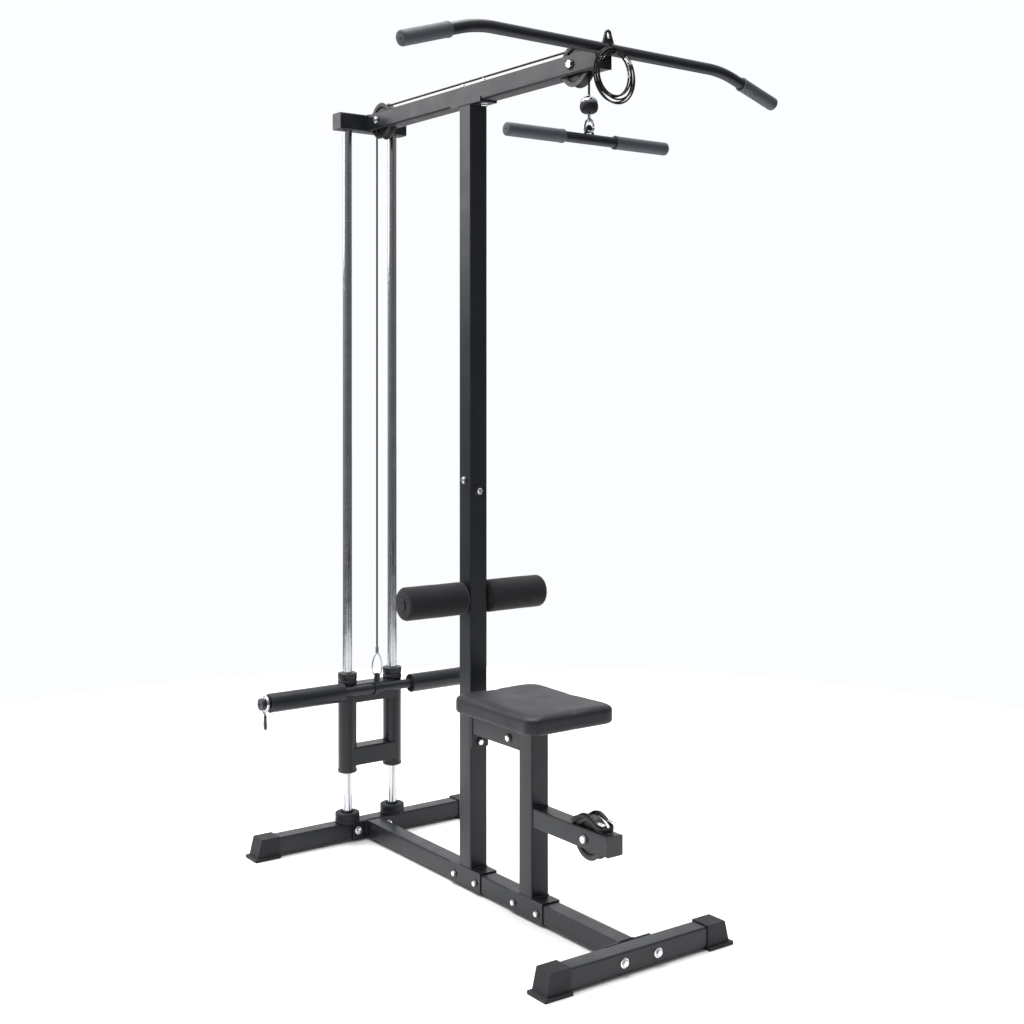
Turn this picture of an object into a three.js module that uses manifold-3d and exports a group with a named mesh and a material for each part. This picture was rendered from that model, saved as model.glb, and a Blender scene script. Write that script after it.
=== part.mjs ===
// A plate-loaded lat pulldown machine: a welded and bolted square-tube frame, two chrome guide
// rods with a weight carriage, a cable over two top pulleys, a low pulley, a seat and knee rollers.
// Millimetres. X runs across the machine, +Y is its rear, Z is up.
// The origin lies on the floor at the middle of the footprint.
import * as THREE from "three";
import { mergeVertices } from "three/addons/utils/BufferGeometryUtils.js";
import Module from "manifold-3d";

const wasm = await Module();
wasm.setup();

// ---------------------------------------------------------------- driving dimensions
const GAP = 0.3; // between pieces that touch
const POST = 50; // width of the upright, the seat post and the carriage cross tubes
const TUBE = 45; // width of every other square tube
const WALL = 2; // wall of every tube
const CORNER = 4; // outer corner radius of the square tubes
const PLATE = 4; // thickness of the welded flange plates

const FLOOR_CLEARANCE = 7; // the feet hold the base tubes this far off the floor
const STABILIZER_SPACING = 1109.5; // from the front to the rear stabilizer
const FRONT_HALF_WIDTH = 240; // half length of the front stabilizer
const REAR_HALF_WIDTH = 332; // half length of the rear stabilizer
const UPRIGHT_SETBACK = 603.5; // from the front stabilizer to the upright
const SEAT_POST_SETBACK = 355.5; // from the front stabilizer to the seat post
const BEAM_Z = 1949.5; // axis of the top beam, the rear crossbar and the top pulleys
const BEAM_FRONT = 500; // the top beam reaches this far in front of the upright
const JOINT_Z = 990; // the upright is made of two lengths that meet here
const ROD_SETBACK = 499; // from the upright to the guide rods
const ROD_SPACING = 141.4; // between the guide rods
const ROD_RADIUS = 12.5;
const CROSSBAR_LENGTH = 204;

const PULLEY_RADIUS = 48.5;
const PULLEY_WIDTH = 24;
const PITCH_RADIUS = 38; // of the cable's centre line on a pulley
const AXLE_RADIUS = 5;
const SLOT_WIDTH = 28; // slots in the tubes for the pulleys
const CABLE_RADIUS = 2.5;
const FRONT_PULLEY_REACH = 413; // from the upright forward to the front pulley
const LOW_PULLEY_REACH = 462; // from the upright forward to the low pulley
const LOW_ARM_Z = 241.5;
const LOW_ARM_REACH = 538; // the low arm ends this far in front of the upright

const SEAT_TOP = 505;
const SEAT_THICKNESS = 40;
const SEAT_WIDTH = 258;
const SEAT_LENGTH = 332;
const SEAT_FRONT = 411; // the seat's front edge, measured forward from the upright
const SEAT_BEAM_Z = 407.5;
const ROLLER_Z = 715;
const ROLLER_RADIUS = 40;
const ROLLER_INNER = 33; // the foam starts this far from the middle
const ROLLER_OUTER = 203;

const CARRIAGE_BOTTOM = 192; // the slide tubes' lower ends
const CARRIAGE_TOP = 428; // the slide tubes' upper ends
const SLIDE_RADIUS = 25;
const WEIGHT_BAR_Z = 412.8;
const WEIGHT_BAR_HALF = 345;
const SLEEVE_INNER = 105; // the weight sleeves start this far from the middle
const SLEEVE_OUTER = 325;

const STOP_BOTTOM = 1836; // lowest point of the rubber stop on the cable's front end
const ROW_BAR_Z = 1780;
const ROW_BAR_HALF = 222;
const LAT_BAR_Z = 1966;
const LAT_BAR_HALF = 369; // half of the lat bar's straight part
const LAT_BAR_END_RUN = 184; // each bent end's reach along the bar
const LAT_BAR_END_DROP = 55;
const LAT_BAR_TURN = 0.077; // radians, about Z
const LAT_BAR_TILT = 0.012; // radians, about Y
const COIL_Z = 1909;
const COIL_RADIUS = 53; // middle of the coiled extension cable
const COIL_BUNDLE = 6; // radius of its bundle

// ---------------------------------------------------------------- derived places
const FRONT_Y = -STABILIZER_SPACING / 2;
const REAR_Y = STABILIZER_SPACING / 2;
const UPRIGHT_Y = FRONT_Y + UPRIGHT_SETBACK;
const SEAT_POST_Y = FRONT_Y + SEAT_POST_SETBACK;
const BASE_Z = FLOOR_CLEARANCE + TUBE / 2;
const BASE_TOP = FLOOR_CLEARANCE + TUBE;
const SADDLE_TOP = BASE_TOP + GAP + 3;
const ROD_X = ROD_SPACING / 2;
const ROD_Y = UPRIGHT_Y + ROD_SETBACK;
const WEIGHT_BAR_Y = ROD_Y - SLIDE_RADIUS - ROD_RADIUS - GAP;
const REAR_PULLEY_Y = WEIGHT_BAR_Y - PITCH_RADIUS;
const FRONT_PULLEY_Y = UPRIGHT_Y - FRONT_PULLEY_REACH;
const FRONT_DROP_Y = FRONT_PULLEY_Y - PITCH_RADIUS;
const LOW_PULLEY_Y = UPRIGHT_Y - LOW_PULLEY_REACH;
const BEAM_FRONT_Y = UPRIGHT_Y - BEAM_FRONT;
const CAP_THICKNESS = 2;
const LAT_BAR_RADIUS = 13;
const LAT_BAR_Y = BEAM_FRONT_Y - CAP_THICKNESS - LAT_BAR_RADIUS - 2;
const SIDES = { left: -1, right: 1 };

// ---------------------------------------------------------------- materials
const finish = (color, roughness, metalness) =>
  new THREE.MeshStandardMaterial({ color, roughness, metalness });
const powderCoat = () => finish(0x23262b, 0.45, 0.3);
const chrome = () => finish(0xd8dadd, 0.12, 1);
const zinc = () => finish(0xb9bcc0, 0.35, 1);
const rubber = () => finish(0x17181a, 0.85, 0);
const grip = () => finish(0x3f454c, 0.8, 0);
const plastic = () => finish(0x141517, 0.3, 0);
const foam = () => finish(0x1b1c1e, 0.95, 0);
const vinyl = () => finish(0x1c1d1f, 0.5, 0);
const plywood = () => finish(0x8d7350, 0.8, 0);

// ---------------------------------------------------------------- geometry helpers
// A closed three.js geometry as a manifold-3d solid.
function solid(geometry) {
  const bare = geometry.index ? geometry.toNonIndexed() : geometry.clone();
  bare.deleteAttribute("normal");
  bare.deleteAttribute("uv");
  const merged = mergeVertices(bare, 1e-4);
  return new wasm.Manifold(
    new wasm.Mesh({
      numProp: 3,
      vertProperties: merged.attributes.position.array,
      triVerts: new Uint32Array(merged.index.array),
    }),
  );
}

// A manifold-3d solid as a three.js geometry.
function geometryOf(manifold) {
  const mesh = manifold.getMesh();
  const geometry = new THREE.BufferGeometry();
  geometry.setAttribute("position", new THREE.BufferAttribute(mesh.vertProperties, 3));
  geometry.setIndex(new THREE.BufferAttribute(mesh.triVerts, 1));
  const flat = geometry.toNonIndexed();
  flat.computeVertexNormals();
  return flat;
}

const join = (...pieces) => pieces.map(solid).reduce((a, b) => a.add(b));
const cut = (body, ...tools) => tools.map(solid).reduce((a, b) => a.subtract(b), body);

// Turns a geometry built along Z to lie along the named axis.
function turned(geometry, axis) {
  if (axis === "x") geometry.rotateY(Math.PI / 2);
  if (axis === "y") geometry.rotateX(-Math.PI / 2);
  return geometry;
}

// A block given by its centre and its size.
function block(width, depth, height, x = 0, y = 0, z = 0) {
  return new THREE.BoxGeometry(width, depth, height).translate(x, y, z);
}

// A round bar, centred, along an axis.
function bar(radius, length, axis = "z", sides = 16) {
  const geometry = new THREE.CylinderGeometry(radius, radius, length, sides).rotateX(Math.PI / 2);
  return turned(geometry, axis);
}

// A solid of revolution about an axis, from [radius, height] pairs.
function revolved(profile, axis = "z", sides = 20) {
  const points = profile.map(([radius, height]) => new THREE.Vector2(radius, height));
  return turned(new THREE.LatheGeometry(points, sides).rotateX(Math.PI / 2), axis);
}

// A ring of revolution whose [radius, height] outline closes on itself.
function revolvedRing(outline, axis = "z", sides = 20) {
  return revolved([...outline, outline[0]], axis, sides);
}

// A round tube, centred, along an axis.
function roundTube(outer, inner, length, axis = "z", sides = 20) {
  const half = length / 2;
  const outline = [[inner, -half], [outer, -half], [outer, half], [inner, half]];
  return revolvedRing(outline, axis, sides);
}

function roundedSquare(target, half, radius) {
  target.moveTo(-half + radius, -half);
  target.lineTo(half - radius, -half);
  target.absarc(half - radius, -half + radius, radius, -Math.PI / 2, 0, false);
  target.lineTo(half, half - radius);
  target.absarc(half - radius, half - radius, radius, 0, Math.PI / 2, false);
  target.lineTo(-half + radius, half);
  target.absarc(-half + radius, half - radius, radius, Math.PI / 2, Math.PI, false);
  target.lineTo(-half, -half + radius);
  target.absarc(-half + radius, -half + radius, radius, Math.PI, 1.5 * Math.PI, false);
  return target;
}

// A hollow square tube with rounded corners, centred, along an axis.
function squareTube(width, length, axis = "z", wall = WALL) {
  const section = roundedSquare(new THREE.Shape(), width / 2, CORNER);
  section.holes.push(roundedSquare(new THREE.Path(), width / 2 - wall, CORNER - wall / 2));
  const geometry = new THREE.ExtrudeGeometry(section, {
    depth: length,
    bevelEnabled: false,
    curveSegments: 1,
  });
  return turned(geometry.translate(0, 0, -length / 2), axis);
}

// A flat outline in XZ, given as [x, z] pairs, made into a plate centred on Y.
function outlinePlate(outline, thickness) {
  const shape = new THREE.Shape(outline.map(([x, z]) => new THREE.Vector2(x, z)));
  const geometry = new THREE.ExtrudeGeometry(shape, { depth: thickness, bevelEnabled: false });
  return geometry.translate(0, 0, -thickness / 2).rotateX(Math.PI / 2);
}

// A closed loop of round wire in the XZ plane: outlineAt(angle) gives its centre line as [x, z].
function wireLoop(outlineAt, wireRadius, steps, sides = 6) {
  const ring = 10;
  const geometry = new THREE.TorusGeometry(ring, wireRadius, sides, steps);
  const position = geometry.attributes.position;
  const point = new THREE.Vector3();
  for (let i = 0; i < position.count; i++) {
    point.fromBufferAttribute(position, i);
    const angle = Math.atan2(point.y, point.x);
    const outward = Math.hypot(point.x, point.y) - ring;
    const [x, z] = outlineAt(angle);
    const [aheadX, aheadZ] = outlineAt(angle + 0.01);
    const along = new THREE.Vector2(aheadX - x, aheadZ - z).normalize();
    position.setXYZ(i, x + along.y * outward, -point.z, z - along.x * outward);
  }
  return geometry;
}

// A named mesh placed in a group.
function place(group, name, geometry, material, x = 0, y = 0, z = 0) {
  const mesh = new THREE.Mesh(geometry, material);
  mesh.name = name;
  mesh.position.set(x, y, z);
  group.add(mesh);
  return mesh;
}

// ---------------------------------------------------------------- base frame
// A rubber shoe over a stabilizer's end, local x outward from the tube's end, z from the floor.
const SHOE = { grip: 50, flange: 22, toe: 16, top: 2, height: 55, wall: 3, lip: 8.7, lipHeight: 8 };

function rubberShoe() {
  const halfWidth = TUBE / 2 + SHOE.wall;
  const side = [[-SHOE.grip, 0], [SHOE.toe, 0], [SHOE.top, SHOE.height], [-SHOE.grip, SHOE.height]];
  const body = outlinePlate(side, 2 * halfWidth);
  const lipLength = SHOE.grip + SHOE.flange;
  const lip = block(
    lipLength, TUBE + 2 * SHOE.lip, SHOE.lipHeight,
    SHOE.flange - lipLength / 2, 0, SHOE.lipHeight / 2,
  );
  const socketWidth = TUBE + 2 * GAP;
  const socket = block(2 * SHOE.grip, socketWidth, socketWidth, GAP - SHOE.grip, 0, BASE_Z);
  return geometryOf(cut(join(body, lip), socket));
}

function addStabilizer(group, where, y, halfWidth, tubeGeometry) {
  place(group, `${where}_stabilizer`, tubeGeometry, powderCoat(), 0, y, BASE_Z);
  for (const [side, sign] of Object.entries(SIDES)) {
    const shoe = place(group, `${where}_foot_${side}`, rubberShoe(), rubber(), sign * halfWidth, y, 0);
    if (sign < 0) shoe.rotation.z = Math.PI;
  }
}

function frontStabilizerTube() {
  return squareTube(TUBE, 2 * FRONT_HALF_WIDTH, "x");
}

// The rear stabilizer has two holes in its top wall for the guide rods.
function rearStabilizerTube() {
  const tube = solid(squareTube(TUBE, 2 * REAR_HALF_WIDTH, "x"));
  const hole = (sign) => bar(ROD_RADIUS + GAP, TUBE / 2).translate(sign * ROD_X, ROD_Y - REAR_Y, TUBE / 2);
  return geometryOf(cut(tube, hole(-1), hole(1)));
}

// The long floor tube with a bolting plate welded to each end.
const BASE_PLATE_WIDTH = 130;
const VENT_RADIUS = 6; // powder-coating vent in closed weldments

function baseTube() {
  const half = STABILIZER_SPACING / 2 - TUBE / 2 - GAP;
  const tube = squareTube(TUBE, 2 * half - 1, "y");
  const plate = (sign) => block(BASE_PLATE_WIDTH, PLATE, TUBE, 0, sign * (half - PLATE / 2), 0);
  return geometryOf(cut(join(tube, plate(-1), plate(1)), bar(VENT_RADIUS, 2 * half + PLATE, "y")));
}

// ---------------------------------------------------------------- posts
const SADDLE_LENGTH = 130;

// An inverted channel that straddles the base tube, its top face at z = 0.
function saddle() {
  const topThickness = SADDLE_TOP - BASE_TOP - GAP;
  const outside = block(
    POST, SADDLE_LENGTH, SADDLE_TOP - FLOOR_CLEARANCE,
    0, 0, (FLOOR_CLEARANCE - SADDLE_TOP) / 2,
  );
  const channel = block(TUBE + 2 * GAP, SADDLE_LENGTH + 2, 2 * TUBE, 0, 0, -topThickness - TUBE);
  return geometryOf(cut(solid(outside), channel));
}

function lowerUpright() {
  const height = JOINT_Z - SADDLE_TOP;
  const tube = squareTube(POST, height + 1).translate(0, 0, height / 2 - 0.5);
  const rollerHole = bar(ROD_RADIUS + GAP, 2 * POST, "x").translate(0, 0, ROLLER_Z - SADDLE_TOP);
  return geometryOf(cut(join(tube, saddle()), rollerHole));
}

// The channel on the upright's top that cradles the beam.
const CRADLE_LENGTH = 129;
const CRADLE_LIP = 9;

function upperUpright() {
  const bottom = JOINT_Z + GAP;
  const plateTop = BEAM_Z - TUBE / 2 - GAP;
  const plateBottom = plateTop - 3;
  const height = plateBottom - bottom;
  const tube = squareTube(POST, height + 1).translate(0, 0, bottom + height / 2 + 0.5);
  const outside = block(
    POST, CRADLE_LENGTH, 3 + CRADLE_LIP,
    0, -1.5, plateBottom + (3 + CRADLE_LIP) / 2,
  );
  const channel = block(TUBE + 2 * GAP, CRADLE_LENGTH + 2, TUBE, 0, -1.5, plateTop + TUBE / 2);
  return geometryOf(solid(tube).add(cut(solid(outside), channel)));
}

// The square sleeve inside the joint of the upright's two lengths.
const JOINT_SLEEVE_LENGTH = 200;

function uprightSleeve() {
  return squareTube(POST - 2 * WALL - 2 * GAP, JOINT_SLEEVE_LENGTH);
}

// The seat post: saddle below, a stub inside the seat beam, and the seat's mounting plate on top.
const SEAT_PLATE = { width: 100, length: 160, thickness: 3 };
const STUB_LENGTH = 60;

function seatPost() {
  const bottom = SADDLE_TOP;
  const top = SEAT_TOP - SEAT_THICKNESS - GAP - SEAT_PLATE.thickness;
  const height = top - bottom;
  const tube = squareTube(POST, height + 1).translate(0, 0, height / 2);
  const stubWidth = TUBE - 2 * WALL - 2 * GAP;
  const stub = squareTube(stubWidth, STUB_LENGTH, "y")
    .translate(0, POST / 2 + STUB_LENGTH / 2 - 0.5, SEAT_BEAM_Z - bottom);
  const plate = block(
    SEAT_PLATE.width, SEAT_PLATE.length, SEAT_PLATE.thickness,
    0, 0, height + SEAT_PLATE.thickness / 2,
  );
  const vent = bar(VENT_RADIUS, 20).translate(0, 0, height);
  return geometryOf(cut(join(tube, saddle(), stub, plate), vent));
}

// The short beam from the upright to the seat post, with a tall flange on the upright's front.
const SEAT_FLANGE = { height: 110, bottom: 352 };

function seatBeam() {
  const rear = -POST / 2 - GAP;
  const front = SEAT_POST_SETBACK - UPRIGHT_SETBACK + POST / 2 + GAP;
  const length = rear - front;
  const tube = squareTube(TUBE, length - 1, "y").translate(0, (front + rear - 1) / 2, 0);
  const flange = block(
    POST, PLATE, SEAT_FLANGE.height,
    0, rear - PLATE / 2, SEAT_FLANGE.bottom + SEAT_FLANGE.height / 2 - SEAT_BEAM_Z,
  );
  const vent = bar(VENT_RADIUS, 20, "y").translate(0, rear, 0);
  return geometryOf(cut(join(tube, flange), vent));
}

// ---------------------------------------------------------------- seat
const SEAT_CORNER = 35;
const SEAT_BEVEL = 9;
const BOARD_INSET = 16;
const BOARD_THICKNESS = 12;

function roundedSlab(width, length, corner, thickness, bevel) {
  const shape = new THREE.Shape();
  const halfWidth = width / 2 - bevel;
  const halfLength = length / 2 - bevel;
  const radius = corner - bevel;
  shape.moveTo(-halfWidth + radius, -halfLength);
  shape.absarc(halfWidth - radius, -halfLength + radius, radius, -Math.PI / 2, 0, false);
  shape.absarc(halfWidth - radius, halfLength - radius, radius, 0, Math.PI / 2, false);
  shape.absarc(-halfWidth + radius, halfLength - radius, radius, Math.PI / 2, Math.PI, false);
  shape.absarc(-halfWidth + radius, -halfLength + radius, radius, Math.PI, 1.5 * Math.PI, false);
  const geometry = new THREE.ExtrudeGeometry(shape, {
    depth: thickness - 2 * bevel,
    bevelEnabled: bevel > 0,
    bevelThickness: bevel,
    bevelSize: bevel,
    bevelSegments: 2,
    curveSegments: 3,
  });
  return geometry.translate(0, 0, bevel);
}

// The padded seat, wrapped round a board that closes a recess in its underside.
function seatPad() {
  const pad = roundedSlab(SEAT_WIDTH, SEAT_LENGTH, SEAT_CORNER, SEAT_THICKNESS, SEAT_BEVEL);
  const recess = roundedSlab(
    SEAT_WIDTH - 2 * BOARD_INSET, SEAT_LENGTH - 2 * BOARD_INSET,
    SEAT_CORNER - BOARD_INSET, BOARD_THICKNESS + GAP + 1, 0,
  ).translate(0, 0, -1);
  return geometryOf(cut(solid(pad), recess));
}

function seatBoard() {
  const inset = 2 * (BOARD_INSET + GAP);
  const corner = SEAT_CORNER - BOARD_INSET;
  return roundedSlab(SEAT_WIDTH - inset, SEAT_LENGTH - inset, corner, BOARD_THICKNESS, 0);
}

// ---------------------------------------------------------------- arms and beams
// A slot cut down through a tube for a pulley, and the bore for its axle.
function pulleySlot(y) {
  return block(SLOT_WIDTH, 2 * (PULLEY_RADIUS + 2.5), 2 * TUBE, 0, y, 0);
}

function axleBore(y) {
  return bar(AXLE_RADIUS + GAP, 2 * TUBE, "x", 16).translate(0, y, 0);
}

// A square tube along Y between two places, with pulley slots, local y from the upright.
function slottedTube(front, rear, pulleys) {
  const tube = squareTube(TUBE, rear - front, "y").translate(0, (front + rear) / 2, 0);
  return geometryOf(cut(solid(tube), ...pulleys.map(pulleySlot), ...pulleys.map(axleBore)));
}

function topBeam() {
  const rear = ROD_SETBACK - TUBE / 2 - GAP;
  return slottedTube(-BEAM_FRONT, rear, [-FRONT_PULLEY_REACH, REAR_PULLEY_Y - UPRIGHT_Y]);
}

function lowPulleyArm() {
  const rear = SEAT_POST_SETBACK - UPRIGHT_SETBACK - POST / 2 - GAP;
  return slottedTube(-LOW_ARM_REACH, rear, [-LOW_PULLEY_REACH]);
}

// The bar across the beam's rear end, with holes in its lower wall for the guide rods.
function rearCrossbar() {
  const tube = solid(squareTube(TUBE, CROSSBAR_LENGTH, "x"));
  const hole = (sign) => bar(ROD_RADIUS + GAP, TUBE / 2).translate(sign * ROD_X, 0, -TUBE / 2);
  return geometryOf(cut(tube, hole(-1), hole(1)));
}

// A plastic end cap facing -Y, its flange's inner face at y = 0.
const CAP_PLUG = 12;

function tubeCap() {
  const flange = block(TUBE, CAP_THICKNESS - GAP, TUBE, 0, -(CAP_THICKNESS + GAP) / 2, 0);
  const plugWidth = TUBE - 2 * WALL - 2 * GAP;
  const plug = block(plugWidth - 2, CAP_PLUG, plugWidth - 2, 0, CAP_PLUG / 2 - 1, 0);
  return geometryOf(join(flange, plug));
}

// ---------------------------------------------------------------- guide rods and rollers
const ROD_BOTTOM = FLOOR_CLEARANCE + WALL + CORNER; // clear of the corner inside the tube
const ROD_TOP = BEAM_Z + TUBE / 2 - WALL - GAP;
const BUMPER = { radius: 33, top: 80, chamfer: 3, recess: 17, recessDepth: 5 };

function guideRod() {
  return bar(ROD_RADIUS, ROD_TOP - ROD_BOTTOM);
}

// A rubber bumper round each rod, local z from its foot.
function bumper() {
  const height = BUMPER.top - BASE_TOP - GAP;
  const bore = ROD_RADIUS + GAP;
  return revolvedRing([
    [bore, 0],
    [BUMPER.radius, 0],
    [BUMPER.radius, height - BUMPER.chamfer],
    [BUMPER.radius - BUMPER.chamfer, height],
    [BUMPER.recess, height],
    [BUMPER.recess, height - BUMPER.recessDepth],
    [bore, height - BUMPER.recessDepth],
  ]);
}

const FOAM_BORE = ROD_RADIUS + 0.35;
const FOAM_ROUND = 8;

function foamRoller() {
  const half = (ROLLER_OUTER - ROLLER_INNER) / 2;
  return revolvedRing([
    [FOAM_BORE, -half],
    [ROLLER_RADIUS - FOAM_ROUND, -half],
    [ROLLER_RADIUS - 2.3, -half + 2.3],
    [ROLLER_RADIUS, -half + FOAM_ROUND],
    [ROLLER_RADIUS, half - FOAM_ROUND],
    [ROLLER_RADIUS - 2.3, half - 2.3],
    [ROLLER_RADIUS - FOAM_ROUND, half],
    [FOAM_BORE, half],
  ], "x");
}

// ---------------------------------------------------------------- pulleys
const GROOVE_BOTTOM = PITCH_RADIUS - CABLE_RADIUS - 0.8;

function pulley() {
  const half = PULLEY_WIDTH / 2;
  const rim = PULLEY_RADIUS;
  const oneSide = [
    [GROOVE_BOTTOM, 2],
    [GROOVE_BOTTOM + 2, 3.4],
    [rim, half - 2.2],
    [rim, half],
    [rim - 12, half],
    [rim - 14, half - 4],
    [15, half - 4],
    [13, half],
    [AXLE_RADIUS + 0.1, half],
  ];
  const otherSide = oneSide.map(([radius, x]) => [radius, -x]).reverse();
  return revolvedRing([...otherSide, ...oneSide], "x");
}

// A hex bolt through a tube with its nut: the head on the -X side, the nut on the +X side.
const HEX_RADIUS = 9.2;
const HEX_HEIGHT = 6.5;

function axleBolt() {
  const faceX = TUBE / 2 + GAP;
  const head = bar(HEX_RADIUS, HEX_HEIGHT, "x", 6).translate(-faceX - HEX_HEIGHT / 2, 0, 0);
  const nut = bar(HEX_RADIUS, HEX_HEIGHT, "x", 6).translate(faceX + HEX_HEIGHT / 2, 0, 0);
  const shank = bar(AXLE_RADIUS, 2 * faceX + 2 * HEX_HEIGHT + 3, "x", 16).translate(1.5, 0, 0);
  return geometryOf(join(head, nut, shank));
}

// ---------------------------------------------------------------- carriage
const SLIDE_WALL = 3;
const BUSH_BORE = ROD_RADIUS + 0.25;
const BUSH_HEAD = 29; // height of the ribbed cap above the slide tube

function slideTube() {
  return roundTube(SLIDE_RADIUS, SLIDE_RADIUS - SLIDE_WALL, CARRIAGE_TOP - CARRIAGE_BOTTOM);
}

// The ribbed nylon guide in a slide tube's top, local z from the tube's upper end.
function slideBush() {
  const head = SLIDE_RADIUS + 1;
  const spigot = SLIDE_RADIUS - SLIDE_WALL - GAP;
  return revolvedRing([
    [BUSH_BORE, -30],
    [spigot, -30],
    [spigot, GAP],
    [head, GAP],
    [head, 8],
    [head - 2, 9],
    [head - 2, 12],
    [head, 13],
    [head, BUSH_HEAD - 1],
    [head - 1, BUSH_HEAD],
    [BUSH_BORE, BUSH_HEAD],
  ]);
}

// A square tube between the slide tubes, its ends hollowed to their round.
function carriageCross() {
  const tube = solid(squareTube(POST, ROD_SPACING, "x"));
  const cope = (sign) => bar(SLIDE_RADIUS + GAP, 2 * POST, "z", 32).translate(sign * ROD_X, 0, 0);
  return geometryOf(cut(tube, cope(-1), cope(1)));
}

function weightBar() {
  return roundTube(ROD_RADIUS, ROD_RADIUS - 2.5, 2 * WEIGHT_BAR_HALF, "x");
}

function weightSleeve() {
  const half = (SLEEVE_OUTER - SLEEVE_INNER) / 2;
  const bore = ROD_RADIUS + GAP;
  return revolvedRing([
    [bore, -half],
    [SLIDE_RADIUS - 2, -half],
    [SLIDE_RADIUS, -half + 2],
    [SLIDE_RADIUS, half - 2],
    [SLIDE_RADIUS - 2, half],
    [bore, half],
  ], "x");
}

// The lug on the weight bar that the cable's link goes through, local z from the bar's axis.
const EYE = { thickness: 8, halfWidth: 9, top: 41, holeZ: 32, holeRadius: 5 };

function cableEye() {
  const clip = roundTube(ROD_RADIUS + 4, ROD_RADIUS + GAP, 24, "x");
  const openRear = block(30, 10, 40, 0, ROD_RADIUS - 0.1 + 5, 0);
  const lugBottom = ROD_RADIUS + 2;
  const lugHeight = EYE.holeZ - lugBottom;
  const lug = block(
    EYE.thickness, 2 * EYE.halfWidth, lugHeight,
    0, 0, lugBottom + lugHeight / 2,
  );
  const round = bar(EYE.halfWidth, EYE.thickness, "x", 20).translate(0, 0, EYE.holeZ);
  const hole = bar(EYE.holeRadius, 3 * EYE.thickness, "x", 16).translate(0, 0, EYE.holeZ);
  return geometryOf(cut(join(clip, lug, round), hole, openRear));
}

// The chrome link between the cable's crimp and the lug: a triangle of wire with a ferrule on top.
const LINK_HALF = 15;
const LINK_HEIGHT = 62;
const LINK_WIRE = 2.2;
const FERRULE = { radius: 4.2, height: 20 };

function cableShackle() {
  const outline = (angle) => {
    const rise = (1 + Math.sin(angle)) / 2;
    const taper = 1 - 0.82 * rise;
    return [LINK_HALF * Math.cos(angle) * Math.sqrt(taper + 0.18) * 1.1, rise * LINK_HEIGHT];
  };
  const loop = wireLoop(outline, LINK_WIRE, 28);
  const ferrule = bar(FERRULE.radius, FERRULE.height, "z", 14)
    .translate(0, 0, LINK_HEIGHT + FERRULE.height / 2 - 1);
  return geometryOf(join(loop, ferrule));
}

// A spring collar on the weight bar's end: a wire ring, two legs and their grips.
// Local x runs outward along the bar.
const COLLAR = {
  bore: ROD_RADIUS + GAP,
  radius: 18.5,
  width: 9,
  wire: 2.2,
  legX: -3.4,
  legY: 7,
  legBottom: -30,
  gripBottom: -65,
};

function springCollar() {
  const ring = roundTube(COLLAR.radius, COLLAR.bore, COLLAR.width, "x");
  const legTop = -COLLAR.bore - 1;
  const legLength = legTop - COLLAR.legBottom;
  const leg = (sign) => bar(COLLAR.wire, legLength + 4, "z", 8)
    .translate(sign * COLLAR.legX, sign * COLLAR.legY, legTop - legLength / 2);
  const gripLength = COLLAR.legBottom - COLLAR.gripBottom;
  const tab = (sign) => block(
    8, 13, gripLength,
    sign * COLLAR.legX, sign * COLLAR.legY, COLLAR.legBottom - gripLength / 2,
  );
  return geometryOf(join(ring, leg(-1), leg(1), tab(-1), tab(1)));
}

// ---------------------------------------------------------------- front hook and row bar
const STOP_RADIUS = 20.5;
const STOP_HEIGHT = 24;
const STOP_CAP = { radius: 19, height: 17 };

function stopBall() {
  return revolved([
    [0, 0],
    [9, 0],
    [15.5, 3],
    [19, 8],
    [STOP_RADIUS, 14],
    [STOP_RADIUS, 20],
    [19, STOP_HEIGHT],
    [0, STOP_HEIGHT],
  ]);
}

function stopCap() {
  return revolved([
    [0, 0],
    [STOP_CAP.radius, 0],
    [STOP_CAP.radius, 4],
    [16, 10],
    [9, 14],
    [5, STOP_CAP.height],
    [0, STOP_CAP.height],
  ]);
}

// The swivel eye under the stop: a shank and a wire ring, local z from the stop's lowest point.
const SWIVEL = { ring: 6.5, wire: 2, shank: 4 };
const SWIVEL_RING_Z = -SWIVEL.shank - SWIVEL.ring + 1;

function swivelEye() {
  const ring = wireLoop((a) => [SWIVEL.ring * Math.cos(a), SWIVEL.ring * Math.sin(a)], SWIVEL.wire, 20);
  const shank = bar(3, SWIVEL.shank, "z", 12).translate(0, 0, -GAP - SWIVEL.shank / 2);
  return geometryOf(join(ring.translate(0, 0, SWIVEL_RING_Z), shank));
}

// The carabiner, in the YZ plane, pear-shaped, with a gate on its front side; local z from its top.
const GATE_HINGE_GAP = 1.3; // the gate's lower end turns clear of the ring
const CARABINER = { halfWidth: 11, height: 29.3, wire: 2.8, gateTop: -8, gateBottom: -20, turn: 0.6 };

const carabinerOutline = (angle) => {
  const depth = (1 - Math.sin(angle)) / 2;
  const halfWidth = CARABINER.halfWidth * (0.72 + 0.42 * depth);
  return [-halfWidth * Math.cos(angle), -depth * CARABINER.height];
};

function carabinerRing() {
  return wireLoop((angle) => carabinerOutline(Math.PI - angle), CARABINER.wire, 32).rotateZ(-Math.PI / 2);
}

// The stretch of the ring's front side that the gate fills, less a gap at its tip and its hinge.
function gateWindow(tipGap, hingeGap) {
  const top = CARABINER.gateTop - tipGap;
  const bottom = CARABINER.gateBottom + hingeGap;
  return block(20, 12, top - bottom, 0, -CARABINER.halfWidth, (top + bottom) / 2);
}

function carabiner() {
  return geometryOf(cut(solid(carabinerRing()), gateWindow(0, 0)));
}

function carabinerGate() {
  const ring = solid(carabinerRing());
  return geometryOf(ring.intersect(solid(gateWindow(GAP, GATE_HINGE_GAP))));
}

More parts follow.
